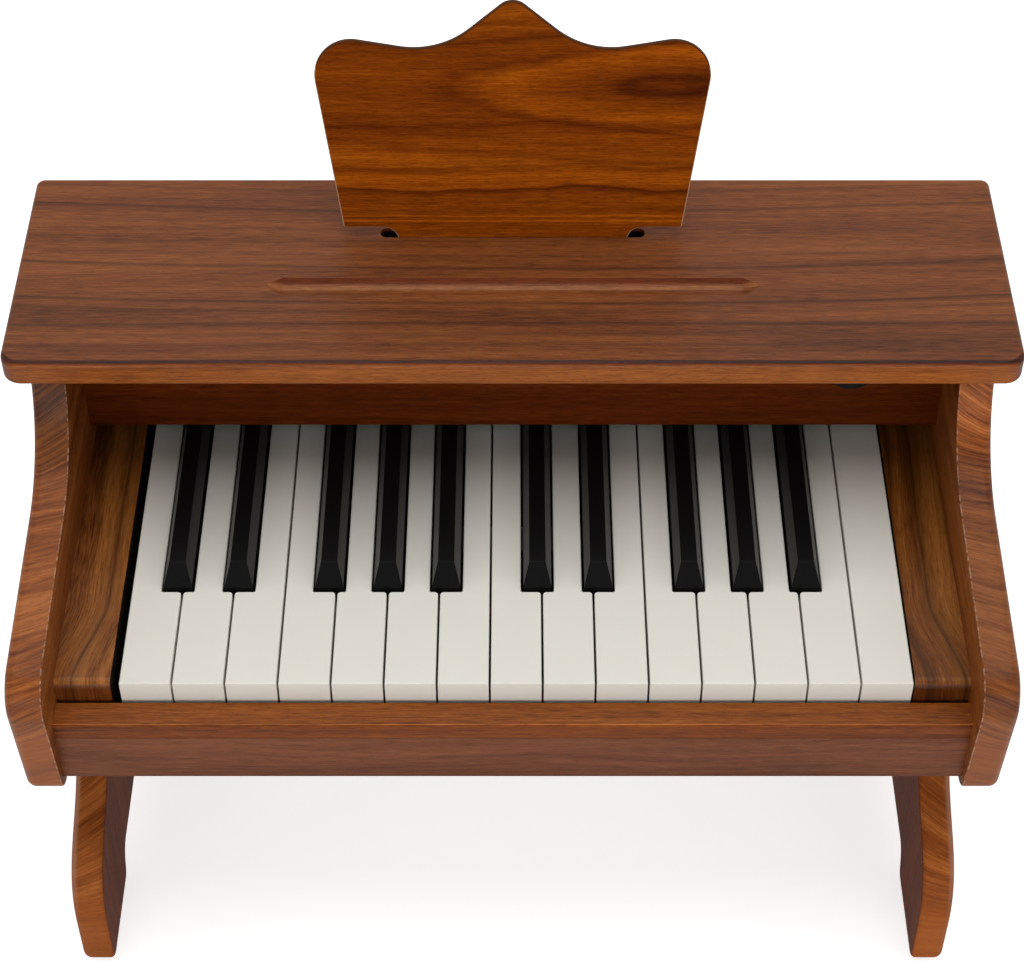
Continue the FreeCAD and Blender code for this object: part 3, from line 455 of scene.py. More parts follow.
# The levels between which pores and breaks begin, and how far from the middle level a line fades.
PORE_LEVELS: Span = (0.60, 0.72)
BREAK_LEVELS: Span = (0.40, 0.58)
LINE_SPAN = 0.035
# The levels of the dark, middle and light tones, how dark lines are, and how much of that pores have.
TONE_LEVELS = (0.12, 0.50, 0.88)
LINE_SHADE = 0.24
PORE_SHADE = 0.35
# How far fibres stand out and pores are sunk, the film's whole relief in metres, and how that dulls it.
FIBRE_RISE = 0.5
PORE_RISE = -0.8
FILM_RELIEF = 0.00006
FILM_DULLING = 0.12
# How light bends in lacquer and plastic.
SKIN_INDEX = 1.5
# How far a face turns sideways where the broad film takes over from the edge's, or the painted inner shade
# begins.
BROAD_FACING: Span = (0.80, 0.97)
# The painted highlight along the inner arris: the directions where it starts, is full and ends, its flecks
# and its tone.
ARRIS_HIGHLIGHT_FACING = (0.25, 0.40, 0.80, 0.93)
FLECK_CLOUDS = (0.0, 500.0, 500.0)
FLECK_LEVELS: Span = (0.40, 0.62)
ARRIS_HIGHLIGHT_TONE: Colour = (0.55, 0.42, 0.32)
# How far behind the front edge the groove's painted highlight and shade take over.
HOLLOW_START: Span = (0.008, 0.010)
# The stand's slot, painted dark as shade: that shade's colour, how far under the top it begins, its half
# length, how far over the underside it ends, and how far it goes before and behind the stand's foot.
SLOT_SHADE: Colour = (0.010, 0.006, 0.004)
SLOT_TOP: Span = (0.0008, 0.0020)
SLOT_HALF_LENGTH: Span = (0.0610, 0.0620)
SLOT_UNDERSIDE: Span = (-0.0008, -0.0002)
SLOT_REACH: Span = (0.012, 0.013)
PLAIN: Colour = (1.0, 1.0, 1.0)
# The painted sheen on the round of the legs' outer side: its width, the height in metres where it fades, and
# its tone.
RIM_WIDTH = 0.0034
RIM_FOOT = 0.030
RIM_SHEEN_TONE: Colour = (0.36, 0.165, 0.100)
# The key blocks' dark vein: how far it wanders in metres, and each width that it fades over, with a share.
VEIN_SWAY = 0.006
VEIN_SOFTNESS = ((0.0016, 1.0), (0.0065, 0.45))
# How the key blocks' grain swings at the front end, and the painted shade on the blocks' and legs' inner
# sides.
BLOCK_CURL: Span = (0.010, 0.045)
BLOCK_INNER_SHADE: Colour = (0.03, 0.03, 0.03)
LEG_INNER_SHADE: Colour = (0.64, 0.46, 0.30)
# Painted light and shade where a film turns, for its highlights and shadows: at each level of how far the
# surface faces the front.
# The top: painted shade on the front roundover and painted light on the front face.
TOP_TURN_LIGHT_AND_SHADE: Stops = ((0.05, PLAIN), (0.15, (0.31, 0.15, 0.06)), (0.50, (0.38, 0.16, 0.03)),
                    (0.85, (1.20, 1.05, 0.60)), (0.98, (1.52, 1.48, 1.0)))
# The groove: a painted highlight on its floor and painted shade on its back wall.
GROOVE_LIGHT_AND_SHADE: Stops = ((0.08, PLAIN), (0.20, (1.60, 2.05, 2.9)), (0.42, (1.50, 1.70, 2.0)),
                       (0.62, (0.78, 0.48, 0.06)))
# The slip: a painted highlight along its arris and painted shade on its front face.
SLIP_TURN_LIGHT_AND_SHADE: Stops = ((0.10, PLAIN), (0.22, (1.80, 2.10, 3.40)), (0.36, (1.80, 2.10, 3.40)),
                     (0.50, (0.95, 0.85, 0.60)), (0.93, (0.80, 0.68, 0.45)))
# The key blocks: a painted highlight on the front arris and painted shade on the front face.
BLOCK_TURN_LIGHT_AND_SHADE: Stops = ((0.06, PLAIN), (0.30, (1.15, 1.20, 1.30)), (0.75, (1.15, 1.20, 1.30)),
                      (0.93, (0.58, 0.45, 0.34)))


@dataclass(frozen=True)
class Walnut:
    """Satin walnut film: bands, streaks, dark lines, fibres and pores along the grain.

    Attributes:
        node: The board that it is for.
        grain: The way that the grain runs on the broad faces.
        shift: Where the film was cut from, along and across the grain, in metres.
        dark, middle, light: The wood's tones.
        figure: How the grain shows on the broad faces.
        edge: The rows of the grain that crosses the board's edges, or none where the film runs on over them.
        marks: Single dark lines, each a share of the board's depth from the front, and a strength.
        turns: Painted highlights and shade of the film where it turns over the front arris.
        groove_light_and_shade: Such painted highlights and shade behind the front edge, in the groove.
        inner_shade: Painted shade on the side that faces the middle of the piano.
        arris_highlight: How pale the painted highlight along the arris on that side is.
        rim: How pale the painted sheen on the round of the outer side is.
        curl: How far the grain swings outwards at the front end, and over which length, in metres.
        vein: How dark the vein down the middle is.
        slotted: Whether the board has the stand's slot, whose inside is painted dark as shade.
        roughness: How matt the film is.
        gloss: How much light its skin reflects.
    """

    node: str
    grain: Grain = Grain.ALONG_KEYS
    shift: Span = (0.0, 0.0)
    dark: Colour = (0.085, 0.018, 0.003)
    middle: Colour = (0.215, 0.055, 0.008)
    light: Colour = (0.34, 0.105, 0.022)
    figure: Figure = STRAIGHT
    edge: tuple[tuple[float, float, float, float], ...] = ()
    marks: tuple[tuple[float, float], ...] = ()
    turns: Stops = ()
    groove_light_and_shade: Stops = ()
    inner_shade: Colour = PLAIN
    arris_highlight: float = 0.0
    rim: float = 0.0
    curl: Span = (0.0, 0.0)
    vein: float = 0.0
    slotted: bool = False
    roughness: float = 0.38
    gloss: float = 0.23

    @property
    def name(self) -> str:
        """The material's name."""
        return self.node + "_film"

    def film(self, sheet: NodeSheet) -> Film:
        """Works out each point's place on the film that wraps the broad faces.

        Args:
            sheet: The material's nodes.

        Returns:
            The place along and across the grain.
        """
        along, across = (sheet.measured(sheet.place(), way) for way in self.grain.value)
        swing, reach = self.curl
        if swing:
            side, depth, _ = sheet.axes(sheet.place())
            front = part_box(self.node)[0].y
            turned = sheet.spread(depth, front + reach, front, 0.0, -swing)
            across = sheet.sum("MULTIPLY_ADD", sheet.sum("SIGN", side), turned, across)
        return along, across

    def edge_tone(self, sheet: NodeSheet) -> Look:
        """Builds the colour and relief of the grain that crosses the board's edges.

        Args:
            sheet: The material's nodes.

        Returns:
            The colour and the height.
        """
        low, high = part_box(self.node)
        side, depth, height = sheet.axes(sheet.place())
        outward = sheet.sum("SUBTRACT", sheet.sum("ABSOLUTE", side), abs(low.x + high.x) / 2.0)
        rows = [(share, levels) for share, *levels in self.edge]
        row = sheet.ramp(sheet.sum("MULTIPLY", height, 1.0 / EDGE_TOP), rows)
        lean, strength, light = sheet.axes(row)
        run = sheet.sum("MULTIPLY_ADD", depth, EDGE_CLIMB, height)
        film = (outward, sheet.sum("MULTIPLY_ADD", outward, lean, run))
        colour, relief = self.tone(sheet, film, CROSSED, strength)
        # The row's lightness also paints in the light and shade on that height of the edge.
        colour = sheet.scaled(colour, light)
        # Painted sheen on the round of the outer side, fading towards the foot.
        if self.rim:
            half = (high.x - low.x) / 2.0
            rim_sheen = sheet.spread(outward, half - RIM_WIDTH, half - RIM_WIDTH / 2.0, 0.0, self.rim)
            fade = sheet.spread(height, RIM_FOOT, 2.0 * RIM_FOOT)
            colour = sheet.blend(sheet.sum("MULTIPLY", rim_sheen, fade), colour, RIM_SHEEN_TONE)
        return colour, relief

    def tone(self, sheet: NodeSheet, film: Film, figure: Figure, strength: Level = 1.0) -> Look:
        """Builds the colour and relief of one film.

        Args:
            sheet: The material's nodes.
            film: The place along and across the grain.
            figure: How the grain shows.
            strength: How strong the whole figure is.

        Returns:
            The colour and the height.
        """
        cut = tuple(sheet.sum("ADD", way, shift) for way, shift in zip(film, self.shift))
        sway = sheet.grain_noise(cut, *SWAY_CLOUDS)
        swayed = (cut[0], sheet.sum("MULTIPLY_ADD", sway, figure.sway, cut[1]))
        bands = sheet.grain_noise(swayed, *BAND_CLOUDS, detail=3.0)
        streaks = sheet.grain_noise(swayed, STREAKS_ALONG, figure.streak_count, detail=4.0)
        fibres = sheet.grain_noise(swayed, *FIBRE_CLOUDS)
        pores = sheet.spread(sheet.grain_noise(cut, *PORE_CLOUDS, detail=1.0), *PORE_LEVELS)
        fading = sheet.grain_noise(cut, figure.break_count, BREAKS_ACROSS, detail=1.0)
        breaks = sheet.spread(fading, *BREAK_LEVELS)
        waves = sheet.grain_noise(swayed, LINES_ALONG, figure.line_count, detail=1.0)
        ridge = sheet.sum("ABSOLUTE", sheet.sum("SUBTRACT", waves, MIDDLE))
        lines = sheet.spread(ridge, 0.0, LINE_SPAN, figure.lines, 0.0)
        lines = sheet.sum("MULTIPLY", sheet.sum("MULTIPLY", lines, breaks), strength)
        if self.marks:
            lines = sheet.sum("MAXIMUM", lines, self.marked(sheet, film, sway, breaks))
        if self.vein:
            low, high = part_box(self.node)
            away = sheet.sum("MULTIPLY_ADD", sway, VEIN_SWAY, sheet.sum("ABSOLUTE", film[1]))
            away = sheet.sum("ABSOLUTE", sheet.sum("SUBTRACT", away, abs(low.x + high.x + VEIN_SWAY) / 2.0))
            for width, share in VEIN_SOFTNESS:
                lines = sheet.sum("MAXIMUM", lines, sheet.spread(away, 0.0, width, share * self.vein, 0.0))
        level = sheet.weighed([(bands, figure.bands), (streaks, figure.streaks), (fibres, figure.fibres)])
        level = sheet.sum("MULTIPLY_ADD", sheet.sum("SUBTRACT", level, MIDDLE), strength, MIDDLE)
        colour = sheet.ramp(level, list(zip(TONE_LEVELS, (self.dark, self.middle, self.light))))
        shade = tuple(channel * LINE_SHADE for channel in self.middle)
        darkness = sheet.sum("MAXIMUM", lines, sheet.sum("MULTIPLY", pores, PORE_SHADE))
        colour = sheet.blend(darkness, colour, shade)
        height = sheet.sum("MULTIPLY_ADD", fibres, FIBRE_RISE, sheet.sum("MULTIPLY", pores, PORE_RISE))
        return colour, height

    def marked(self, sheet: NodeSheet, film: Film, sway: Socket, breaks: Socket) -> Socket:
        """Draws the board's single dark lines, soft on the front side and crisp on the back.

        Args:
            sheet: The material's nodes.
            film: The place along and across the grain.
            sway: How the grain wanders, about 0.5.
            breaks: Where lines fade.

        Returns:
            How dark the lines are.
        """
        low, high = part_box(self.node)
        depth = high.y - low.y
        stops = [(0.0, (0.0, 0.0, 0.0))]
        for share, strength in self.marks:
            for side, level in MARK_SIDES:
                stops.append((MARK_LEAD + (1.0 - MARK_LEAD) * (share + side), (strength * level,) * 3))
        share = sheet.sum("MULTIPLY_ADD", film[1], 1.0 / depth, -(low.y + high.z) / depth)
        bow = sheet.spread(share, *MARK_BEND, 0.0, -MARK_BOW)
        share = sheet.sum("MULTIPLY_ADD", sheet.sum("MULTIPLY", film[0], film[0]), bow, share)
        share = sheet.sum("MULTIPLY_ADD", share, 1.0 - MARK_LEAD, MARK_LEAD - MARK_SWAY / 2.0)
        drawn = sheet.ramp(sheet.sum("MULTIPLY_ADD", sway, MARK_SWAY, share), stops)
        return sheet.sum("MULTIPLY", drawn, sheet.sum("MULTIPLY_ADD", breaks, MARK_FADE, 1.0 - MARK_FADE))

    def colours(self, sheet: NodeSheet) -> Look:
        """Builds the whole board's colour and relief.

        Args:
            sheet: The material's nodes.

        Returns:
            The colour and the height.
        """
        colour, height = self.tone(sheet, self.film(sheet), self.figure)
        sideways, forward, _ = sheet.axes(sheet.facing())
        half, depth, _ = sheet.axes(sheet.place())
        inward = sheet.sum("MULTIPLY", sheet.sum("MULTIPLY", sideways, sheet.sum("SIGN", half)), -1.0)
        if self.edge:
            edge_colour, edge_height = self.edge_tone(sheet)
            broad = sheet.spread(sheet.sum("ABSOLUTE", sideways), *BROAD_FACING)
            colour = sheet.blend(broad, edge_colour, colour)
            height = sheet.sum("MULTIPLY_ADD", height, broad, edge_height)
            # Painted highlight along the inner arris, broken into flecks.
            arris_highlight_levels = (0.0, self.arris_highlight, self.arris_highlight, 0.0)
            arris_highlight_mask = sheet.ramp(inward, [(place, (level,) * 3) for place, level in zip(ARRIS_HIGHLIGHT_FACING, arris_highlight_levels)])
            flecks = sheet.spread(sheet.noise(sheet.place(), FLECK_CLOUDS), *FLECK_LEVELS)
            colour = sheet.blend(sheet.sum("MULTIPLY", arris_highlight_mask, flecks), colour, ARRIS_HIGHLIGHT_TONE)
        # Painted shade on the side that faces the middle of the piano.
        if self.inner_shade != PLAIN:
            painted_inner_shade = sheet.ramp(inward, list(zip(BROAD_FACING, (PLAIN, self.inner_shade))))
            colour = sheet.blend(1.0, colour, painted_inner_shade, "MULTIPLY")
        # Painted light and shade where the film turns over the front arris.
        if self.turns:
            forward = sheet.sum("MULTIPLY", forward, -1.0)
            over = sheet.ramp(forward, self.turns)
            # Painted highlight and shade in the groove.
            if self.groove_light_and_shade:
                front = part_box(self.node)[0].y
                behind = sheet.spread(depth, *(front + start for start in HOLLOW_START))
                over = sheet.blend(behind, over, sheet.ramp(forward, self.groove_light_and_shade))
            colour = sheet.blend(1.0, colour, over, "MULTIPLY")
        # The slot's inside is painted dark as shade.
        if self.slotted:
            colour = sheet.blend(self.slot(sheet), colour, SLOT_SHADE)
        return colour, height

    def slot(self, sheet: NodeSheet) -> Socket:
        """Finds the inside of the music stand's slot.

        Args:
            sheet: The material's nodes.

        Returns:
            1 inside the slot, and 0 elsewhere.
        """
        low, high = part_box(self.node)
        foot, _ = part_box("music_stand")
        side, depth, height = sheet.axes(sheet.place())
        inside = sheet.spread(height, *(high.z - depth_below for depth_below in SLOT_TOP))
        limits = (
            (sheet.sum("ABSOLUTE", side), SLOT_HALF_LENGTH),
            (sheet.sum("SUBTRACT", low.z, height), SLOT_UNDERSIDE),
            (sheet.sum("ABSOLUTE", sheet.sum("SUBTRACT", depth, foot.y)), SLOT_REACH),
        )
        for level, (near, far) in limits:
            inside = sheet.sum("MULTIPLY", inside, sheet.spread(level, near, far, 1.0, 0.0))
        return inside

    def make(self) -> bpy.types.Material:
        """Builds the material."""
        sheet = NodeSheet(self.name)
        colour, height = self.colours(sheet)
        sheet.bump(height, FILM_RELIEF)
        dullness = sheet.sum("MULTIPLY_ADD", height, FILM_DULLING, self.roughness)
        return sheet.finish(base_color=colour, roughness=dullness, ior=SKIN_INDEX,
                            specular_ior_level=self.gloss)


# The stand's figure: clouds to the metre that ruffle its arches and wavy lines, and how far they shift them.
RUFFLE_CLOUDS = (34.0, 0.0, 110.0)
WAVE_CLOUDS = (13.0, 0.0, 22.0)
ARCH_RUFFLE = 0.50
KNOT_RUFFLE = 1.1
WAVE_SWAY = 0.13
# How the arches and the knot's rings are laid along their tones: the scale, and where the arches' eye is.
FIGURE_SCALE = 0.25
EYE_LEVEL = 0.60
ARCH_TONES: Stops = (
    (0.00, PLAIN), (0.14, (0.68, 0.62, 0.52)), (0.24, (0.90, 0.87, 0.80)), (0.36, (0.72, 0.67, 0.56)),
    (0.46, (0.88, 0.85, 0.77)), (0.60, (0.82, 0.76, 0.64)), (0.64, (0.62, 0.54, 0.44)),
    (0.70, (1.25, 1.28, 1.20)), (0.84, (1.22, 1.25, 1.20)), (0.94, (0.92, 0.90, 0.84)),
)
KNOT_TONES: Stops = (
    (0.16, (0.62, 0.54, 0.42)), (0.26, (0.46, 0.38, 0.29)), (0.35, (0.34, 0.26, 0.19)),
    (0.45, (0.66, 0.60, 0.50)), (0.58, (0.74, 0.68, 0.58)), (0.80, PLAIN),
)
WAVE_TONES: Stops = (
    (0.16, PLAIN), (0.262, (0.86, 0.82, 0.74)), (0.282, (0.40, 0.32, 0.22)), (0.290, (1.15, 1.15, 1.1)),
    (0.340, (1.12, 1.1, 1.0)), (0.366, (0.66, 0.58, 0.46)), (0.374, PLAIN), (0.45, (1.08, 1.07, 1.05)),
    (0.505, (0.98, 0.96, 0.92)), (0.528, (0.66, 0.58, 0.46)), (0.545, (0.95, 0.94, 0.9)), (0.60, PLAIN),
    (0.835, PLAIN), (0.858, (0.60, 0.52, 0.42)), (0.866, PLAIN),
)
# The thin light lines near the foot: where each starts, the length of its rise, run and fall, and its tone.
THIN_STARTS = (0.145, 0.165)
THIN_STEP = 0.004
THIN_TONE: Colour = (1.8, 2.0, 2.5)
THIN_STRENGTH = 0.8
# How far the plate's cut edge turns from the front, and how far that edge faces up where the crown's begins.
CUT_FACING: Span = (0.93, 0.80)
CROWN_FACING: Span = (0.30, 0.42)


@dataclass(frozen=True)
class StandWalnut(Walnut):
    """The music stand's film: arches that open round a bright eye, a dark knot and wavy lines below.

    Places are shares of the plate's half width from its middle, and of its height from its foot.

    Attributes:
        eye: The tip of the bright eye.
        knot: The knot's middle.
        knot_reach: The knot's half length and half height.
        opening: How fast the arches open.
        pale, crown: The tones of the cut edge at the sides and round the crown.
    """

    eye: Span = (-0.25, 0.673)
    knot: Span = (0.80, 0.685)
    knot_reach: Span = (0.30, 0.042)
    opening: float = 36.0
    pale: Colour = (0.46, 0.30, 0.19)
    crown: Colour = (0.07, 0.022, 0.005)

    def spot(self, sheet: NodeSheet, middle: Span) -> tuple[Socket, Socket]:
        """Measures from a spot on the plate.

        Args:
            sheet: The material's nodes.
            middle: The spot, in shares of the plate.

        Returns:
            How far right and how far up each point is, in shares of the plate.
        """
        low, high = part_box(self.node)
        side, _, height = sheet.axes(sheet.place())
        tall = high.z - low.z
        return (sheet.sum("MULTIPLY_ADD", side, 1.0 / high.x, -middle[0]),
                sheet.sum("MULTIPLY_ADD", height, 1.0 / tall, -low.z / tall - middle[1]))

    def arches(self, sheet: NodeSheet) -> Socket:
        """Draws the nested arches, the eye and the knot.

        Args:
            sheet: The material's nodes.

        Returns:
            A tone to multiply the straight grain by.
        """
        ruffle = sheet.noise(sheet.place(), RUFFLE_CLOUDS, detail=4.0, rough=0.62)
        right, up = self.spot(sheet, self.eye)
        bend = sheet.sum("MULTIPLY", sheet.sum("MULTIPLY", up, up), -self.opening)
        arch = sheet.sum("ADD", right, bend)
        arch = sheet.sum("MULTIPLY_ADD", ruffle, ARCH_RUFFLE, arch)
        tone = sheet.ramp(sheet.sum("MULTIPLY_ADD", arch, FIGURE_SCALE, EYE_LEVEL), ARCH_TONES)
        along, above = self.spot(sheet, self.knot)
        ring = sheet.add("CombineXYZ")
        sheet.feed(ring.inputs["X"], sheet.sum("MULTIPLY", along, 1.0 / self.knot_reach[0]))
        sheet.feed(ring.inputs["Y"], sheet.sum("MULTIPLY", above, 1.0 / self.knot_reach[1]))
        reach = sheet.add("VectorMath", operation="LENGTH")
        sheet.feed(reach.inputs[0], ring.outputs["Vector"])
        away = sheet.sum("MULTIPLY_ADD", ruffle, KNOT_RUFFLE, reach.outputs["Value"])
        knot = sheet.ramp(sheet.sum("MULTIPLY", away, FIGURE_SCALE), KNOT_TONES)
        return sheet.blend(1.0, tone, knot, "MULTIPLY")

    def wavy_lines(self, sheet: NodeSheet) -> Socket:
        """Draws the dark wavy lines under the eye, and two thin light ones near the foot.

        Args:
            sheet: The material's nodes.

        Returns:
            A tone to multiply the straight grain by.
        """
        _, up = self.spot(sheet, (0.0, 0.0))
        sway = sheet.noise(sheet.place(), WAVE_CLOUDS, detail=3.0)
        level = sheet.sum("MULTIPLY_ADD", sway, WAVE_SWAY, sheet.sum("SUBTRACT", up, WAVE_SWAY / 2.0))
        wavy = sheet.ramp(level, WAVE_TONES)
        tones = (PLAIN, THIN_TONE, THIN_TONE, PLAIN)
        stops = [(start + step * THIN_STEP, tone) for start in THIN_STARTS for step, tone in enumerate(tones)]
        return sheet.blend(THIN_STRENGTH, wavy, sheet.ramp(up, stops), "MULTIPLY")

    def colours(self, sheet: NodeSheet) -> Look:
        """Builds the plate's colour and relief.

        Args:
            sheet: The material's nodes.

        Returns:
            The colour and the height.
        """
        colour, height = super().colours(sheet)
        colour = sheet.blend(1.0, colour, self.arches(sheet), "MULTIPLY")
        colour = sheet.blend(1.0, colour, self.wavy_lines(sheet), "MULTIPLY")
        _, forward, upward = sheet.axes(sheet.facing())
        cut = sheet.spread(sheet.sum("ABSOLUTE", forward), *CUT_FACING)
        edge = sheet.blend(sheet.spread(upward, *CROWN_FACING), self.pale, self.crown)
        return sheet.blend(cut, colour, edge), height


@dataclass(frozen=True)
class Moulding:
    """Moulded plastic, rubber or paper: one colour with faint clouds, and a fine moulded texture.

    Attributes:
        name: The material's name.
        colour: Its colour.
        roughness: How matt it is.
        cloud: How much its colour varies.
        texture: Texture dots to the metre.
        depth: The texture's depth in metres.
        subsurface: How much light goes into it.
        gloss: How much light its skin reflects.
        cloud_count: Clouds to the metre.
        cloud_levels: The levels where the clouds are darkest and lightest.
        cloud_dulling: How much the clouds vary its roughness.
        soak: How deep red, green and blue light go into it, in metres.
    """

    name: str
    colour: Colour
    roughness: float = 0.4
    cloud: float = 0.06
    texture: float = 2500.0
    depth: float = 0.00002
    subsurface: float = 0.0
    gloss: float = 0.5
    cloud_count: float = 38.0
    cloud_levels: Span = (0.3, 0.7)
    cloud_dulling: float = 0.12
    soak: Colour = (0.004, 0.003, 0.002)

    def make(self) -> bpy.types.Material:
        """Builds the material."""
        sheet = NodeSheet(self.name)
        place = sheet.place()
        clouds = sheet.noise(place, (self.cloud_count,) * 3, detail=4.0, rough=0.6)
        shares = (1.0 - self.cloud, 1.0 + self.cloud)
        tones = [tuple(channel * share for channel in self.colour) for share in shares]
        colour = sheet.ramp(clouds, list(zip(self.cloud_levels, tones)))
        grain = sheet.noise(place, (self.texture,) * 3, detail=1.0)
        sheet.bump(grain, self.depth)
        least = self.roughness - self.cloud_dulling / 2.0
        dullness = sheet.sum("MULTIPLY_ADD", clouds, self.cloud_dulling, least)
        levels = {"base_color": colour, "roughness": dullness, "ior": SKIN_INDEX}
        levels["specular_ior_level"] = self.gloss
        if self.subsurface:
            levels["subsurface_weight"] = self.subsurface
            levels["subsurface_radius"] = self.soak
            levels["subsurface_scale"] = 1.0
        return sheet.finish(**levels)


@dataclass(frozen=True)
class Metal:
    """Plain metal with fine drawn marks.

    Attributes:
        name: The material's name.
        colour: Its colour.
        roughness: How dull it is.
        marks: Drawn marks to the metre along each axis.
        mark_levels: The levels where the marks are darkest and lightest.
        mark_shade: How dark the darkest is.
        mark_depth: Their depth in metres.
        mark_dulling: How much they vary its roughness.
    """

    name: str
    colour: Colour
    roughness: float = 0.3
    marks: Colour = (40.0, 2600.0, 2600.0)
    mark_levels: Span = (0.25, 0.75)
    mark_shade: float = 0.8
    mark_depth: float = 0.00001
    mark_dulling: float = 0.2

    def make(self) -> bpy.types.Material:
        """Builds the material."""
        sheet = NodeSheet(self.name)
        marks = sheet.noise(sheet.place(), self.marks, rough=0.6)
        dull = tuple(channel * self.mark_shade for channel in self.colour)
        colour = sheet.ramp(marks, list(zip(self.mark_levels, (dull, self.colour))))
        sheet.bump(marks, self.mark_depth)
        least = self.roughness - self.mark_dulling / 2.0
        dullness = sheet.sum("MULTIPLY_ADD", marks, self.mark_dulling, least)
        return sheet.finish(base_color=colour, roughness=dullness, metallic=1.0)


@dataclass(frozen=True)
class Felt:
    """Pressed wool felt: matted fibres in two tones, quite matt.

    Attributes:
        name: The material's name.
        colour: The colour of its deep fibres.
        pale: The colour of its loose ones.
        fibre_count: Tufts to the metre.
        fibre_levels: The levels where the deep and the loose fibres are.
        nap: How far the loose fibres stand out, in metres.
    """

    name: str
    colour: Colour
    pale: Colour
    fibre_count: float = 900.0
    fibre_levels: Span = (0.3, 0.75)
    nap: float = 0.0004

    def make(self) -> bpy.types.Material:
        """Builds the material."""
        sheet = NodeSheet(self.name)
        mat = sheet.noise(sheet.place(), (self.fibre_count,) * 3, detail=5.0, rough=0.75)
        colour = sheet.ramp(mat, list(zip(self.fibre_levels, (self.colour, self.pale))))
        sheet.bump(mat, self.nap)
        return sheet.finish(base_color=colour, roughness=0.95, sheen_weight=0.4, sheen_roughness=0.6)


@dataclass(frozen=True)
class CircuitBoard:
    """Green solder resist over copper tracks, with bare pads.

    Attributes:
        name: The material's name.
        resist: The resist's colour.
        track: The colour over copper.
        solder: The colour of the pads.
        pitch: Tracks to the metre.
        lengthen: How the tracks are drawn out along each axis.
        track_edge: Where a track's edge is, from its middle.
        pad_edge: Where a pad's edge is.
        copper: The copper's thickness in metres.
    """

    name: str
    resist: Colour = (0.008, 0.060, 0.022)
    track: Colour = (0.020, 0.125, 0.045)
    solder: Colour = (0.62, 0.60, 0.56)
    pitch: float = 330.0
    lengthen: Colour = (0.4, 1.0, 0.0)
    track_edge: Span = (0.30, 0.36)
    pad_edge: Span = (0.07, 0.10)
    copper: float = 0.00003

    def make(self) -> bpy.types.Material:
        """Builds the material."""
        sheet = NodeSheet(self.name)
        cells = sheet.add("TexVoronoi", distance="CHEBYCHEV", feature="F1")
        sheet.feed(cells.inputs["Vector"], sheet.stretched(sheet.place(), self.lengthen))
        sheet.feed(cells.inputs["Scale"], self.pitch)
        tracks = sheet.spread(cells.outputs["Distance"], *self.track_edge)
        colour = sheet.blend(tracks, self.track, self.resist)
        pads = sheet.spread(cells.outputs["Distance"], *self.pad_edge, 1.0, 0.0)
        colour = sheet.blend(pads, colour, self.solder)
        sheet.bump(tracks, self.copper)
        return sheet.finish(base_color=colour, roughness=0.35, ior=SKIN_INDEX)


class Finishes:
    """Makes each finish once, by name."""

    def __init__(self) -> None:
        """Starts with no material made."""
        self.made: dict[str, bpy.types.Material] = {}

    def dress(self, thing: bpy.types.Object, finish: object) -> None:
        """Gives an object one finish all over.

        Args:
            thing: The object.
            finish: The finish, with a name and a make method.
        """
        if finish.name not in self.made:
            self.made[finish.name] = finish.make()
        if not thing.material_slots:
            thing.data.materials.append(None)
        for slot in thing.material_slots:
            slot.material = self.made[finish.name]

    def settle(self, piece: bpy.types.Object, finish: object, body: str, node: str, slot: str) -> None:
        """Dresses a new piece, sets it on a body and lets it stand for a plain node.

        Args:
            piece: The piece.
            finish: The finish, with a name and a make method.
            body: The body that it rides on.
            node: The node that it stands for.
            slot: The record's material slot; not used.
        """
        self.dress(piece, finish)
        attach(piece, body)
        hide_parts(node)
        LOG.info("made: %s", piece.name)


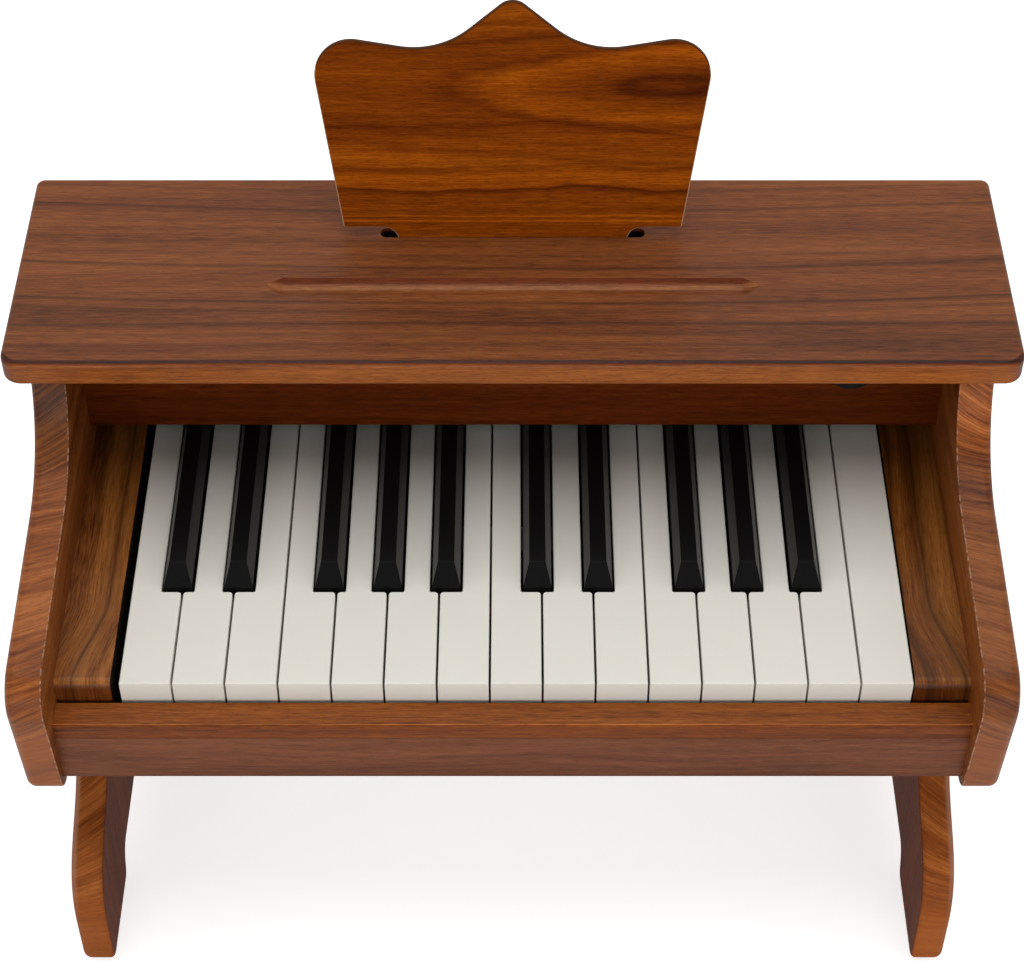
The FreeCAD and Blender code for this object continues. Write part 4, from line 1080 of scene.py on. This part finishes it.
class Workbench:
    """Builds new pieces as meshes and puts them in the scene."""

    @staticmethod
    def piece(name: str, shape: bmesh.types.BMesh, smooth_degrees: float = 35.0) -> bpy.types.Object:
        """Makes an object of a shape, smooth but for its sharp edges.

        Args:
            name: The piece's name.
            shape: The shape, which is used up.
            smooth_degrees: Edges that turn more than this stay sharp.

        Returns:
            The new object.
        """
        bmesh.ops.recalc_face_normals(shape, faces=shape.faces)
        for edge in shape.edges:
            edge.smooth = len(edge.link_faces) == 2 and edge.calc_face_angle() < math.radians(smooth_degrees)
        for face in shape.faces:
            face.smooth = True
        mesh = bpy.data.meshes.new(name)
        shape.to_mesh(mesh)
        shape.free()
        thing = bpy.data.objects.new(name, mesh)
        bpy.context.scene.collection.objects.link(thing)
        return thing

    @staticmethod
    def circle(radius: float, height: float, sides: int) -> list[Vector]:
        """Works out the corners of a circle about local Z.

        Args:
            radius: Its radius.
            height: Its height along Z.
            sides: How many sides it has.

        Returns:
            The corners.
        """
        turns = [2.0 * math.pi * side / sides for side in range(sides)]
        return [Vector((radius * math.cos(turn), radius * math.sin(turn), height)) for turn in turns]

    @staticmethod
    def turned(shape: bmesh.types.BMesh, profile: Sequence[Span], place: Matrix, sides: int = 32) -> None:
        """Adds a shape turned about local Z to a mesh.

        Args:
            shape: The mesh to add to.
            profile: Radius and height of each point, from the axis and back to it.
            place: Where the turned shape goes.
            sides: How many sides it has.
        """
        rings = []
        for radius, height in profile:
            if radius == 0.0:
                rings.append([shape.verts.new(place @ Vector((0.0, 0.0, height)))])
                continue
            corners = Workbench.circle(radius, height, sides)
            rings.append([shape.verts.new(place @ corner) for corner in corners])
        for lower, upper in zip(rings, rings[1:]):
            for side in range(sides):
                ahead = (side + 1) % sides
                corners = [lower[side % len(lower)], lower[ahead % len(lower)],
                           upper[ahead % len(upper)], upper[side % len(upper)]]
                shape.faces.new(list(dict.fromkeys(corners)))

    @staticmethod
    def tube(shape: bmesh.types.BMesh, path: Sequence[Vector], radius: float, sides: int = 10) -> None:
        """Adds a round wire along a path to a mesh.

        Args:
            shape: The mesh to add to.
            path: The wire's middle line.
            radius: The wire's radius.
            sides: How many sides it has.
        """
        rings = []
        for index, point in enumerate(path):
            ahead = path[min(index + 1, len(path) - 1)]
            behind = path[max(index - 1, 0)]
            frame = (ahead - behind).to_track_quat("Z", "Y").to_matrix()
            corners = Workbench.circle(radius, 0.0, sides)
            rings.append([shape.verts.new(point + frame @ corner) for corner in corners])
        for lower, upper in zip(rings, rings[1:]):
            for side in range(sides):
                ahead = (side + 1) % sides
                shape.faces.new((lower[side], lower[ahead], upper[ahead], upper[side]))
        for ring in (rings[0], rings[-1]):
            shape.faces.new(ring)

    @staticmethod
    def slab(shape: bmesh.types.BMesh, low: Vector, high: Vector, bevel: float, steps: int = 2) -> None:
        """Adds a box with rounded edges to a mesh.

        Args:
            shape: The mesh to add to.
            low: Its lowest corner.
            high: Its highest corner.
            bevel: The radius of its edges.
            steps: How many faces each edge is rounded with.
        """
        middle = (low + high) / 2.0
        size = high - low
        place = Matrix.Translation(middle) @ Matrix.Diagonal((*size, 1.0))
        made = bmesh.ops.create_cube(shape, size=1.0, matrix=place)
        edges = list({edge for vert in made["verts"] for edge in vert.link_edges})
        bmesh.ops.bevel(shape, geom=edges, offset=bevel, segments=steps, profile=0.5, affect="EDGES")


@dataclass
class SubAssembly:
    """A group of the piano's pieces, with the finishes made so far and the loaded nodes."""

    finishes: Finishes
    nodes: dict[str, bpy.types.Object]

    def coat(self, plan: dict[str, object]) -> None:
        """Gives nodes that keep their CAD shapes their finishes.

        Args:
            plan: Each node's finish.
        """
        for node, finish in plan.items():
            self.finishes.dress(self.nodes[node], finish)
            LOG.info("dressed: %s", node)


@dataclass
class Case(SubAssembly):
    """The boards of the case, the top and the legs."""

    boards: tuple[Walnut, ...] = (
        Walnut("top_board", shift=(0.13, 0.021), dark=(0.066, 0.016, 0.0030), middle=(0.176, 0.046, 0.0085),
               light=(0.28, 0.083, 0.018), figure=FINE, marks=TOP_MARKS, turns=TOP_TURN_LIGHT_AND_SHADE,
               groove_light_and_shade=GROOVE_LIGHT_AND_SHADE, slotted=True),
        Walnut("front_board", shift=(0.61, 0.233), middle=(0.150, 0.041, 0.011),
               light=(0.225, 0.067, 0.021), figure=WAVY, gloss=0.20),
        Walnut("key_slip", shift=(0.27, 0.517), middle=(0.235, 0.059, 0.006),
               light=(0.34, 0.100, 0.014), figure=QUIET, turns=SLIP_TURN_LIGHT_AND_SHADE, gloss=0.16),
        # The nameboard's tones are darker than the other boards' and paint in part of the shade under the
        # top.
        Walnut("nameboard", shift=(0.82, 0.341), dark=(0.042, 0.007, 0.0008), middle=(0.088, 0.015, 0.0014),
               light=(0.13, 0.026, 0.003), figure=QUIET, gloss=0.03),
        Walnut("back_panel", shift=(0.44, 0.713)),
        Walnut("bottom_board", shift=(0.91, 0.128)),
        Walnut("left_key_block", Grain.OVER_FRONT, (0.37, 0.291), middle=(0.265, 0.085, 0.014),
               light=(0.40, 0.150, 0.034), figure=BOLD, turns=BLOCK_TURN_LIGHT_AND_SHADE, inner_shade=BLOCK_INNER_SHADE,
               curl=BLOCK_CURL, vein=0.80),
        Walnut("right_key_block", Grain.OVER_FRONT, (0.76, 0.654), middle=(0.195, 0.060, 0.007),
               light=(0.31, 0.112, 0.020), figure=BOLD, turns=BLOCK_TURN_LIGHT_AND_SHADE, inner_shade=BLOCK_INNER_SHADE,
               curl=BLOCK_CURL, vein=0.80),
        Walnut("left_panel", Grain.FRONT_TO_BACK, (0.19, 0.428), edge=LEFT_PANEL_ROWS, arris_highlight=0.45),
        Walnut("right_panel", Grain.FRONT_TO_BACK, (0.58, 0.137), edge=RIGHT_PANEL_ROWS, arris_highlight=0.45),
        Walnut("left_leg", Grain.UPRIGHT, (0.33, 0.812), edge=LEFT_LEG_ROWS, inner_shade=LEG_INNER_SHADE,
               rim=0.75, roughness=0.5, gloss=0.10),
        Walnut("right_leg", Grain.UPRIGHT, (0.69, 0.266), edge=RIGHT_LEG_ROWS, inner_shade=LEG_INNER_SHADE,
               rim=0.75, roughness=0.5, gloss=0.10),
        Walnut("case_dowels", dark=(0.40, 0.24, 0.12), middle=(0.50, 0.32, 0.17), light=(0.58, 0.40, 0.23),
               figure=QUIET, roughness=0.6),
    )

    def dress(self) -> None:
        """Gives each board its own cut of walnut."""
        self.coat({walnut.node: walnut for walnut in self.boards})


@dataclass
class Stand(SubAssembly):
    """The music stand's plate."""

    walnut: StandWalnut = StandWalnut(
        "music_stand", shift=(0.49, 0.372), dark=(0.100, 0.019, 0.0005), middle=(0.232, 0.045, 0.0009),
        light=(0.39, 0.095, 0.0032), figure=CALM, gloss=0.02)

    def dress(self) -> None:
        """Gives the plate its figured walnut and pale cut edge."""
        self.coat({self.walnut.node: self.walnut})


@dataclass
class Keyboard(SubAssembly):
    """The keys."""

    ivory: Moulding = Moulding("ivory_plastic", (0.79, 0.765, 0.69), 0.42, 0.012, 3200.0, 0.000006, 0.04)
    ebony: Moulding = Moulding("ebony_plastic", (0.0040,) * 3, 0.34, 0.10, 2600.0, 0.000008, gloss=0.09)

    def dress(self) -> None:
        """Gives the white keys ivory plastic and the black keys ebony plastic."""
        for kind, plastic in (("white_key", self.ivory), ("black_key", self.ebony)):
            self.coat({node: plastic for node in self.nodes if node.startswith(kind)})


@dataclass
class Action(SubAssembly):
    """The frame, rod, felts, domes and contact board under the keys."""

    felt: Felt = Felt("key_felt", (0.16, 0.018, 0.018), (0.334, 0.0642, 0.0642))
    frame_plastic: Moulding = Moulding("frame_plastic", (0.035, 0.035, 0.038), 0.55, 0.1, 1800.0, 0.00003)
    silicone: Moulding = Moulding("dome_silicone", (0.42, 0.42, 0.41), 0.45, 0.05, 2000.0, 0.00001, 0.25)
    steel: Metal = Metal("rod_steel", (0.60, 0.60, 0.61), 0.28)
    board: CircuitBoard = CircuitBoard("contact_board_green")
    felt_edge: float = 0.0006
    sheet_thickness: float = 0.0010
    sheet_edge: float = 0.0003
    dome_radius: float = 0.0045
    dome_sunk: float = 0.0005
    dome_kept: float = 0.62
    dome_smooth: float = 50.0
    dome_profile: tuple[Span, ...] = (
        (0.0, 0.0), (0.95, 0.0), (0.95, 0.11), (0.87, 0.36), (0.75, 0.52), (0.68, 0.64), (0.66, 0.92),
        (0.56, 1.0), (0.0, 1.0))

    def dress(self) -> None:
        """Dresses the hidden action and makes its felts and domes."""
        self.coat({"key_frame": self.frame_plastic, "key_pivot_rod": self.steel,
                   "contact_board": self.board, "frame_screws": self.steel})
        self.strip("key_rest_felt", [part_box("key_rest_felt")])
        self.strip("key_down_felts", self.islands("key_down_felts"))
        self.domes()

    def domes(self) -> None:
        """Makes the silicone strip and a dome under each key."""
        low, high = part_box("dome_strip")
        depth = (low.y + high.y) / 2.0
        top = low.z + self.sheet_thickness
        foot = top - self.dome_sunk
        shape = bmesh.new()
        Workbench.slab(shape, low, Vector((high.x, high.y, top)), self.sheet_edge)
        sheet = Workbench.piece("dome_strip_sheet", shape)
        self.finishes.settle(sheet, self.silicone, "case", "dome_strip", "silicone")
        profile = [(radius * self.dome_radius, rise * (high.z - foot)) for radius, rise in self.dome_profile]
        for node, key in self.nodes.items():
            if not node.startswith(("white_key", "black_key")):
                continue
            over = [vert.co.x for vert in key.data.vertices if abs(vert.co.y - depth) < self.dome_radius]
            x = (min(over) + max(over)) / 2.0
            shape = bmesh.new()
            Workbench.turned(shape, profile, Matrix.Translation((x, depth, foot)))
            dome = Workbench.piece(node + "_dome", shape, self.dome_smooth)
            self.finishes.settle(dome, self.silicone, "case", "dome_strip", "silicone")
            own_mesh(dome)

    def islands(self, node: str) -> list[tuple[Vector, Vector]]:
        """Finds the boxes of a node's separate solids, which lie one behind the other.

        Args:
            node: The node's name.

        Returns:
            Each solid's lowest and highest corners.
        """
        points = [vert.co.copy() for vert in self.nodes[node].data.vertices]
        low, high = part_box(node)
        middle = (low.y + high.y) / 2.0
        boxes = []
        for group in ([p for p in points if p.y < middle], [p for p in points if p.y >= middle]):
            boxes.append((Vector(map(min, zip(*group))), Vector(map(max, zip(*group)))))
        return boxes

    def strip(self, node: str, boxes: Sequence[tuple[Vector, Vector]]) -> None:
        """Makes soft-edged felt strips in place of a plain node.

        Args:
            node: The node that the strips stand for.
            boxes: Each strip's lowest and highest corners.
        """
        shape = bmesh.new()
        for low, high in boxes:
            Workbench.slab(shape, low, high, self.felt_edge, 3)
        piece = Workbench.piece(node + "_soft", shape)
        self.finishes.settle(piece, self.felt, "case", node, "felt")


@dataclass
class SoundGear(SubAssembly):
    """The sound board, volume control and speaker."""

    board: CircuitBoard = CircuitBoard("sound_board_green", pitch=260.0)
    can: Metal = Metal("control_tin", (0.66, 0.64, 0.60), 0.35)
    shaft: Metal = Metal("shaft_aluminium", (0.70, 0.70, 0.71), 0.30)
    nut: Metal = Metal("nut_steel", (0.58, 0.58, 0.59), 0.28)
    knob: Moulding = Moulding("knob_plastic", (0.004, 0.004, 0.004), 0.38, 0.1, 2200.0, 0.00002, gloss=0.15)
    basket: Moulding = Moulding("basket_enamel", (0.012, 0.012, 0.012), 0.35, 0.1, 900.0, 0.00002)
    paper: Moulding = Moulding("cone_paper", (0.016, 0.015, 0.014), 0.85, 0.25, 1500.0, 0.00012)
    ferrite: Moulding = Moulding("magnet_ferrite", (0.030, 0.030, 0.032), 0.6, 0.2, 2000.0, 0.00006)
    roll_half_width: float = 0.00264
    roll_height: float = 0.00099
    roll_steps: int = 9
    cone_wall: float = 0.0005
    cone_foot_share: float = 0.40
    cone_rise_share: float = 0.52
    cone_steps: int = 12
    cap_share: float = 0.32
    cap_top_share: float = 0.55
    cap_drop_share: float = 0.14
    cap_steps: int = 8
    rib_height: float = 0.00025
    rib_count: int = 3
    sides: int = 72
    cone_smooth: float = 50.0

    def dress(self) -> None:
        """Dresses the electronics and makes the speaker's cone."""
        self.coat({"main_board": self.board, "volume_control": self.can, "volume_shaft": self.shaft,
                   "volume_nut": self.nut, "volume_knob": self.knob, "speaker_basket": self.basket,
                   "speaker_magnet": self.ferrite})
        self.cone()

    def cone(self) -> None:
        """Makes the paper cone with a rolled edge, ribs and a domed dust cap."""
        low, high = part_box("speaker_cone")
        middle = (low + high) / 2.0
        rim = (high.x - low.x) / 2.0
        depth = high.y - low.y
        cap = rim * self.cap_share
        run = rim - 2.0 * self.roll_half_width - cap
        front: list[Span] = []
        for step in range(self.cap_steps + 1):
            turn = math.pi / 2.0 * step / self.cap_steps
            drop = self.cap_drop_share * (1.0 - math.cos(turn))
            front.append((cap * math.sin(turn), depth * (self.cap_top_share - drop)))
        for step in range(1, self.cone_steps + 1):
            share = step / self.cone_steps
            rib = self.rib_height * math.sin(2.0 * math.pi * self.rib_count * share)
            rise = depth * (self.cone_foot_share + self.cone_rise_share * share) + rib
            front.append((cap + run * share, rise))
        for step in range(1, self.roll_steps + 1):
            turn = math.pi * step / self.roll_steps
            rise = depth * (self.cone_foot_share + self.cone_rise_share) + self.roll_height * math.sin(turn)
            front.append((rim - self.roll_half_width * (1.0 + math.cos(turn)), rise))
        back = [(max(radius, 0.0), height - self.cone_wall) for radius, height in reversed(front)]
        shape = bmesh.new()
        place = Matrix.Translation((middle.x, low.y, middle.z)) @ Matrix.Rotation(-math.pi / 2.0, 4, "X")
        Workbench.turned(shape, front + back, place, self.sides)
        piece = Workbench.piece("speaker_cone_paper", shape, self.cone_smooth)
        self.finishes.settle(piece, self.paper, "case", "speaker_cone", "cone_paper")


@dataclass
class BatteryHatch(SubAssembly):
    """The battery box, its contacts and its door."""

    plastic: Moulding = Moulding("battery_plastic", (0.014, 0.014, 0.014), 0.5, 0.1, 1500.0, 0.00003)
    tin: Metal = Metal("contact_tin", (0.68, 0.66, 0.62), 0.3)
    cells: int = 3
    wire_radius: float = 0.00035
    coils: int = 5
    coil_steps: int = 24
    spring_base: float = 0.0037
    spring_tip: float = 0.0020
    spring_length: float = 0.0046
    plate: float = 0.0005
    plate_edge: float = 0.0002
    nipple_radius: float = 0.003
    nipple_height: float = 0.0011
    nipple_shoulder: Span = (0.00225, 0.00088)
    nipple_sides: int = 24

    def dress(self) -> None:
        """Dresses the box and door, and makes the sprung contacts."""
        self.coat({"battery_box": self.plastic, "battery_door": self.plastic})
        self.contacts()

    def contacts(self) -> None:
        """Makes the contact plates, with a conical wire spring or a raised nipple on each."""
        low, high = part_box("battery_contacts")
        half = (high.y - low.y) / 2.0
        pitch = (high.z - low.z - 2.0 * half) / (self.cells - 1)
        shape = bmesh.new()
        for row in range(self.cells):
            z = low.z + half + row * pitch
            y = (low.y + high.y) / 2.0
            spring_end = 1 if row % 2 else -1
            for end, wall in ((-1, low.x), (1, high.x)):
                face = wall - end * self.plate
                corners = sorted((wall, face))
                Workbench.slab(shape, Vector((corners[0], y - half, z - half)),
                               Vector((corners[1], y + half, z + half)), self.plate_edge)
                if end == spring_end:
                    Workbench.tube(shape, self.spiral(Vector((face, y, z)), -end), self.wire_radius)
                else:
                    turn = Matrix.Rotation(-end * math.pi / 2.0, 4, "Y")
                    profile = [(0.0, -self.plate / 2), (self.nipple_radius, -self.plate / 2),
                               self.nipple_shoulder, (0.0, self.nipple_height)]
                    place = Matrix.Translation((face, y, z)) @ turn
                    Workbench.turned(shape, profile, place, self.nipple_sides)
        piece = Workbench.piece("battery_contacts_sprung", shape)
        self.finishes.settle(piece, self.tin, "case", "battery_contacts", "tin")

    def spiral(self, foot: Vector, way: int) -> list[Vector]:
        """Works out a conical spring's wire.

        Args:
            foot: The middle of the spring's wide end, on its plate.
            way: 1 where it points along +X, -1 where it points back.

        Returns:
            The wire's middle line.
        """
        steps = self.coils * self.coil_steps
        path = []
        for step in range(steps + 1):
            share = step / steps
            turn = 2.0 * math.pi * share * self.coils
            radius = self.spring_base + (self.spring_tip - self.spring_base) * share
            along = self.wire_radius + self.spring_length * share
            path.append(foot + Vector((way * along, radius * math.cos(turn), radius * math.sin(turn))))
        return path


@dataclass
class Screws(SubAssembly):
    """The screws that show: pan heads with a cross recess."""

    black: Metal = Metal("screw_black", (0.045, 0.045, 0.047), 0.35, (900.0, 900.0, 900.0))
    steel: Metal = Metal("screw_steel", (0.60, 0.60, 0.61), 0.28, (900.0, 900.0, 900.0))
    slot_share: float = 0.30
    slot_depth_share: float = 0.45
    slot_floor_share: float = 0.8
    slot_rim_share: float = 0.02
    recess_share: float = 0.58
    shank_share: float = 0.5
    head_shares: tuple[Span, ...] = ((0.74, 0.06), (0.88, 0.22), (0.97, 0.50), (1.0, 0.80), (1.0, 1.0))
    point_start_share: float = 0.9
    point_share: float = 0.15
    smooth: float = 30.0
    weld: float = 1e-6
    touch: float = 1e-5

    def dress(self) -> None:
        """Makes the back panel's screws and the door's screw, and dresses the hidden ones."""
        self.coat({"leg_screws": self.steel})
        self.recessed("back_panel_screws", "case", self.black, "black_screw")
        self.recessed("battery_door_screw", "battery_door", self.steel, "steel")

    def heads(self, node: str) -> list[tuple[Vector, float, float, float]]:
        """Finds each screw of a node: its head's outermost point, head radius, head height and length.

        Args:
            node: The node's name.

        Returns:
            One row for each screw.
        """
        mesh = self.nodes[node].data
        shape = bmesh.new()
        shape.from_mesh(mesh)
        bmesh.ops.remove_doubles(shape, verts=shape.verts, dist=self.weld)
        left = set(shape.verts)
        rows = []
        while left:
            group = {left.pop()}
            edge = list(group)
            while edge:
                for link in edge.pop().link_edges:
                    for vert in link.verts:
                        if vert in left:
                            left.discard(vert)
                            group.add(vert)
                            edge.append(vert)
            low = Vector(map(min, zip(*(vert.co for vert in group))))
            high = Vector(map(max, zip(*(vert.co for vert in group))))
            wide = [vert.co.y for vert in group if abs(vert.co.x - low.x) < self.touch]
            tip = Vector(((low.x + high.x) / 2, high.y, (low.z + high.z) / 2))
            rows.append((tip, (high.x - low.x) / 2, high.y - min(wide), high.y - low.y))
        shape.free()
        return rows

    def recessed(self, node: str, body: str, finish: Metal, slot: str) -> None:
        """Makes cross-recessed screws in place of a plain node.

        Args:
            node: The node that they stand for.
            body: The body that they ride on.
            finish: Their finish.
            slot: The record's material slot.
        """
        shape = bmesh.new()
        for tip, radius, height, length in self.heads(node):
            self.screw(shape, tip, radius, height, length)
        piece = Workbench.piece(node + "_cross", shape, self.smooth)
        self.finishes.settle(piece, finish, body, node, slot)

    def screw(self, shape: bmesh.types.BMesh, tip: Vector, radius: float, height: float,
              length: float) -> None:
        """Adds one screw, head towards the back, with a cross sunk in its domed head.

        Args:
            shape: The mesh to add to.
            tip: The head's outermost point.
            radius: The head's radius.
            height: The head's height.
            length: The whole screw's length.
        """
        arm = radius * self.recess_share
        half = radius * self.slot_share / 2.0
        depth = height * self.slot_depth_share
        place = Matrix.Translation(tip) @ Matrix.Rotation(-math.pi / 2.0, 4, "X")
        cross = [(half, half), (half, arm), (-half, arm), (-half, half), (-arm, half), (-arm, -half),
                 (-half, -half), (-half, -arm), (half, -arm), (half, -half), (arm, -half), (arm, half)]
        count = len(cross)

        def ring(points: Sequence[Span], level: float) -> list[bmesh.types.BMVert]:
            """Adds a ring of points at one level."""
            return [shape.verts.new(place @ Vector((x, y, level))) for x, y in points]

        def round_ring(reach: float, level: float) -> list[bmesh.types.BMVert]:
            """Adds a round ring with a point on the way to each corner of the cross."""
            return ring([(reach * math.cos(angle), reach * math.sin(angle)) for angle in angles], level)

        def band(lower: list[bmesh.types.BMVert], upper: list[bmesh.types.BMVert]) -> None:
            """Adds the faces between two rings."""
            for index in range(count):
                ahead = (index + 1) % count
                shape.faces.new((lower[index], lower[ahead], upper[ahead], upper[index]))

        angles = [math.atan2(y, x) for x, y in cross]
        floor = ring([(x * self.slot_floor_share, y * self.slot_floor_share) for x, y in cross], -depth)
        mouth = ring(cross, -height * self.slot_rim_share)
        rings = [mouth]
        for share, drop in self.head_shares:
            rings.append(round_ring(radius * share, -height * drop))
        shank = radius * self.shank_share
        rings.append(round_ring(shank, -height))
        rings.append(round_ring(shank, -length * self.point_start_share))
        rings.append(round_ring(shank * self.point_share, -length))
        shape.faces.new(floor)
        band(floor, mouth)
        for lower, upper in zip(rings, rings[1:]):
            band(lower, upper)
        shape.faces.new(rings[-1])


@dataclass
class Studio:
    """The floor, soft light and camera."""

    picture_width: float = 1024.0
    focal_pixels: float = 2389.0
    aim_pixels: float = 4.5
    sensor: float = 36.0
    camera_place: Colour = (0.0016, -0.69935, 0.9165)
    camera_pitch: float = 46.5
    floor_half: float = 6.0
    key_power: float = 12.0
    fill_power: float = 16.0
    front_level: float = 0.14
    floor_lift: float = 0.66
    floor_gleam: float = 0.20
    room_level: float = 0.14
    horizon_level: float = 0.65
    horizon_fade: Span = (0.60, 0.95)
    front_fade: Span = (-0.80, -0.05)
    behind_fade: Span = (-0.75, 0.0)
    floor_tone: Colour = (0.80, 0.80, 0.80)
    lamp_target: Colour = (0.0, 0.0, 0.15)
    key_place: Colour = (0.0, 0.12, 1.50)
    key_size: Span = (1.4, 1.3)
    fill_place: Colour = (0.0, -1.7, 0.46)
    fill_size: Span = (3.0, 0.90)

    def build(self) -> None:
        """Builds the whole studio."""
        self.floor()
        self.world()
        self.softbox("overhead", self.key_place, self.key_size, self.key_power)
        self.softbox("front", self.fill_place, self.fill_size, self.fill_power)
        self.camera()
        bpy.context.scene.view_settings.view_transform = "Standard"

    def floor(self) -> None:
        """Lays the pale floor, white to the camera but for the object's shadow."""
        shape = bmesh.new()
        half = self.floor_half
        corners = [(-half, -half), (half, -half), (half, half), (-half, half)]
        shape.faces.new([shape.verts.new((x, y, 0.0)) for x, y in corners])
        floor = Workbench.piece("studio_floor", shape)
        sheet = NodeSheet("floor_paper")
        sheet.finish(base_color=self.floor_tone, roughness=0.9)
        lift = sheet.add("Emission")
        path = sheet.add("LightPath").outputs
        gleam = sheet.sum("MAXIMUM", path["Is Glossy Ray"], path["Is Transmission Ray"])
        gleam = sheet.sum("MULTIPLY", gleam, self.floor_gleam)
        lifted = sheet.sum("MULTIPLY_ADD", path["Is Camera Ray"], self.floor_lift, gleam)
        sheet.feed(lift.inputs["Strength"], lifted)
        both = sheet.add("AddShader")
        sheet.feed(both.inputs[0], sheet.surface.outputs[0])
        sheet.feed(both.inputs[1], lift.outputs[0])
        sheet.feed(sheet.tree.nodes["Material Output"].inputs["Surface"], both.outputs[0])
        floor.data.materials.append(sheet.material)

    def world(self) -> None:
        """Sets the even light of the room, with a white horizon at the sides and behind the object."""
        world = bpy.data.worlds.new("studio")
        bpy.context.scene.world = world
        world.use_nodes = True
        room = Nodes(world.node_tree)
        _, back, up = room.axes(room.add("TexCoord").outputs["Generated"])
        horizon = room.spread(up, *self.horizon_fade, self.horizon_level, 0.0)
        front = room.spread(back, *self.front_fade, self.front_level, 0.0)
        behind = room.spread(back, *self.behind_fade)
        level = room.sum("ADD", room.sum("MULTIPLY_ADD", horizon, behind, self.room_level), front)
        path = room.add("LightPath").outputs
        shown = room.sum("MULTIPLY_ADD", path["Is Glossy Ray"], self.floor_gleam, path["Is Camera Ray"])
        backdrop = room.tree.nodes["Background"].inputs
        room.feed(backdrop["Strength"], room.sum("MAXIMUM", shown, level))
        room.feed(backdrop["Color"], (*PLAIN, 1.0))

    def softbox(self, name: str, place: Colour, size: Span, power: float) -> None:
        """Adds one soft lamp that points at the piano.

        Args:
            name: The lamp's name.
            place: Where it hangs.
            size: Its width and height.
            power: Its power in watts.
        """
        lamp = bpy.data.lights.new(name, "AREA")
        lamp.shape = "RECTANGLE"
        lamp.size, lamp.size_y = size
        lamp.energy = power
        thing = bpy.data.objects.new(name, lamp)
        thing.location = place
        thing.rotation_euler = (Vector(self.lamp_target) - Vector(place)).to_track_quat("-Z", "Y").to_euler()
        bpy.context.scene.collection.objects.link(thing)

    def camera(self) -> None:
        """Sets the camera at the photograph's viewing angle."""
        data = bpy.data.cameras.new("camera")
        data.sensor_width = self.sensor
        data.lens = self.focal_pixels * self.sensor / self.picture_width
        data.shift_x = -self.aim_pixels / self.picture_width
        camera = bpy.data.objects.new("camera", data)
        camera.location = self.camera_place
        camera.rotation_euler = (math.radians(90.0 - self.camera_pitch), 0.0, 0.0)
        bpy.context.scene.collection.objects.link(camera)
        bpy.context.scene.camera = camera


def main() -> None:
    """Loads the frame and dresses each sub-assembly in order."""
    logging.basicConfig(level=logging.INFO, format="%(message)s")
    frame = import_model()
    finishes = Finishes()
    for group in (Case, Stand, Keyboard, Action, SoundGear, BatteryHatch, Screws):
        group(finishes, frame["nodes"]).dress()
    Studio().build()


if __name__ == "__main__":
    main()
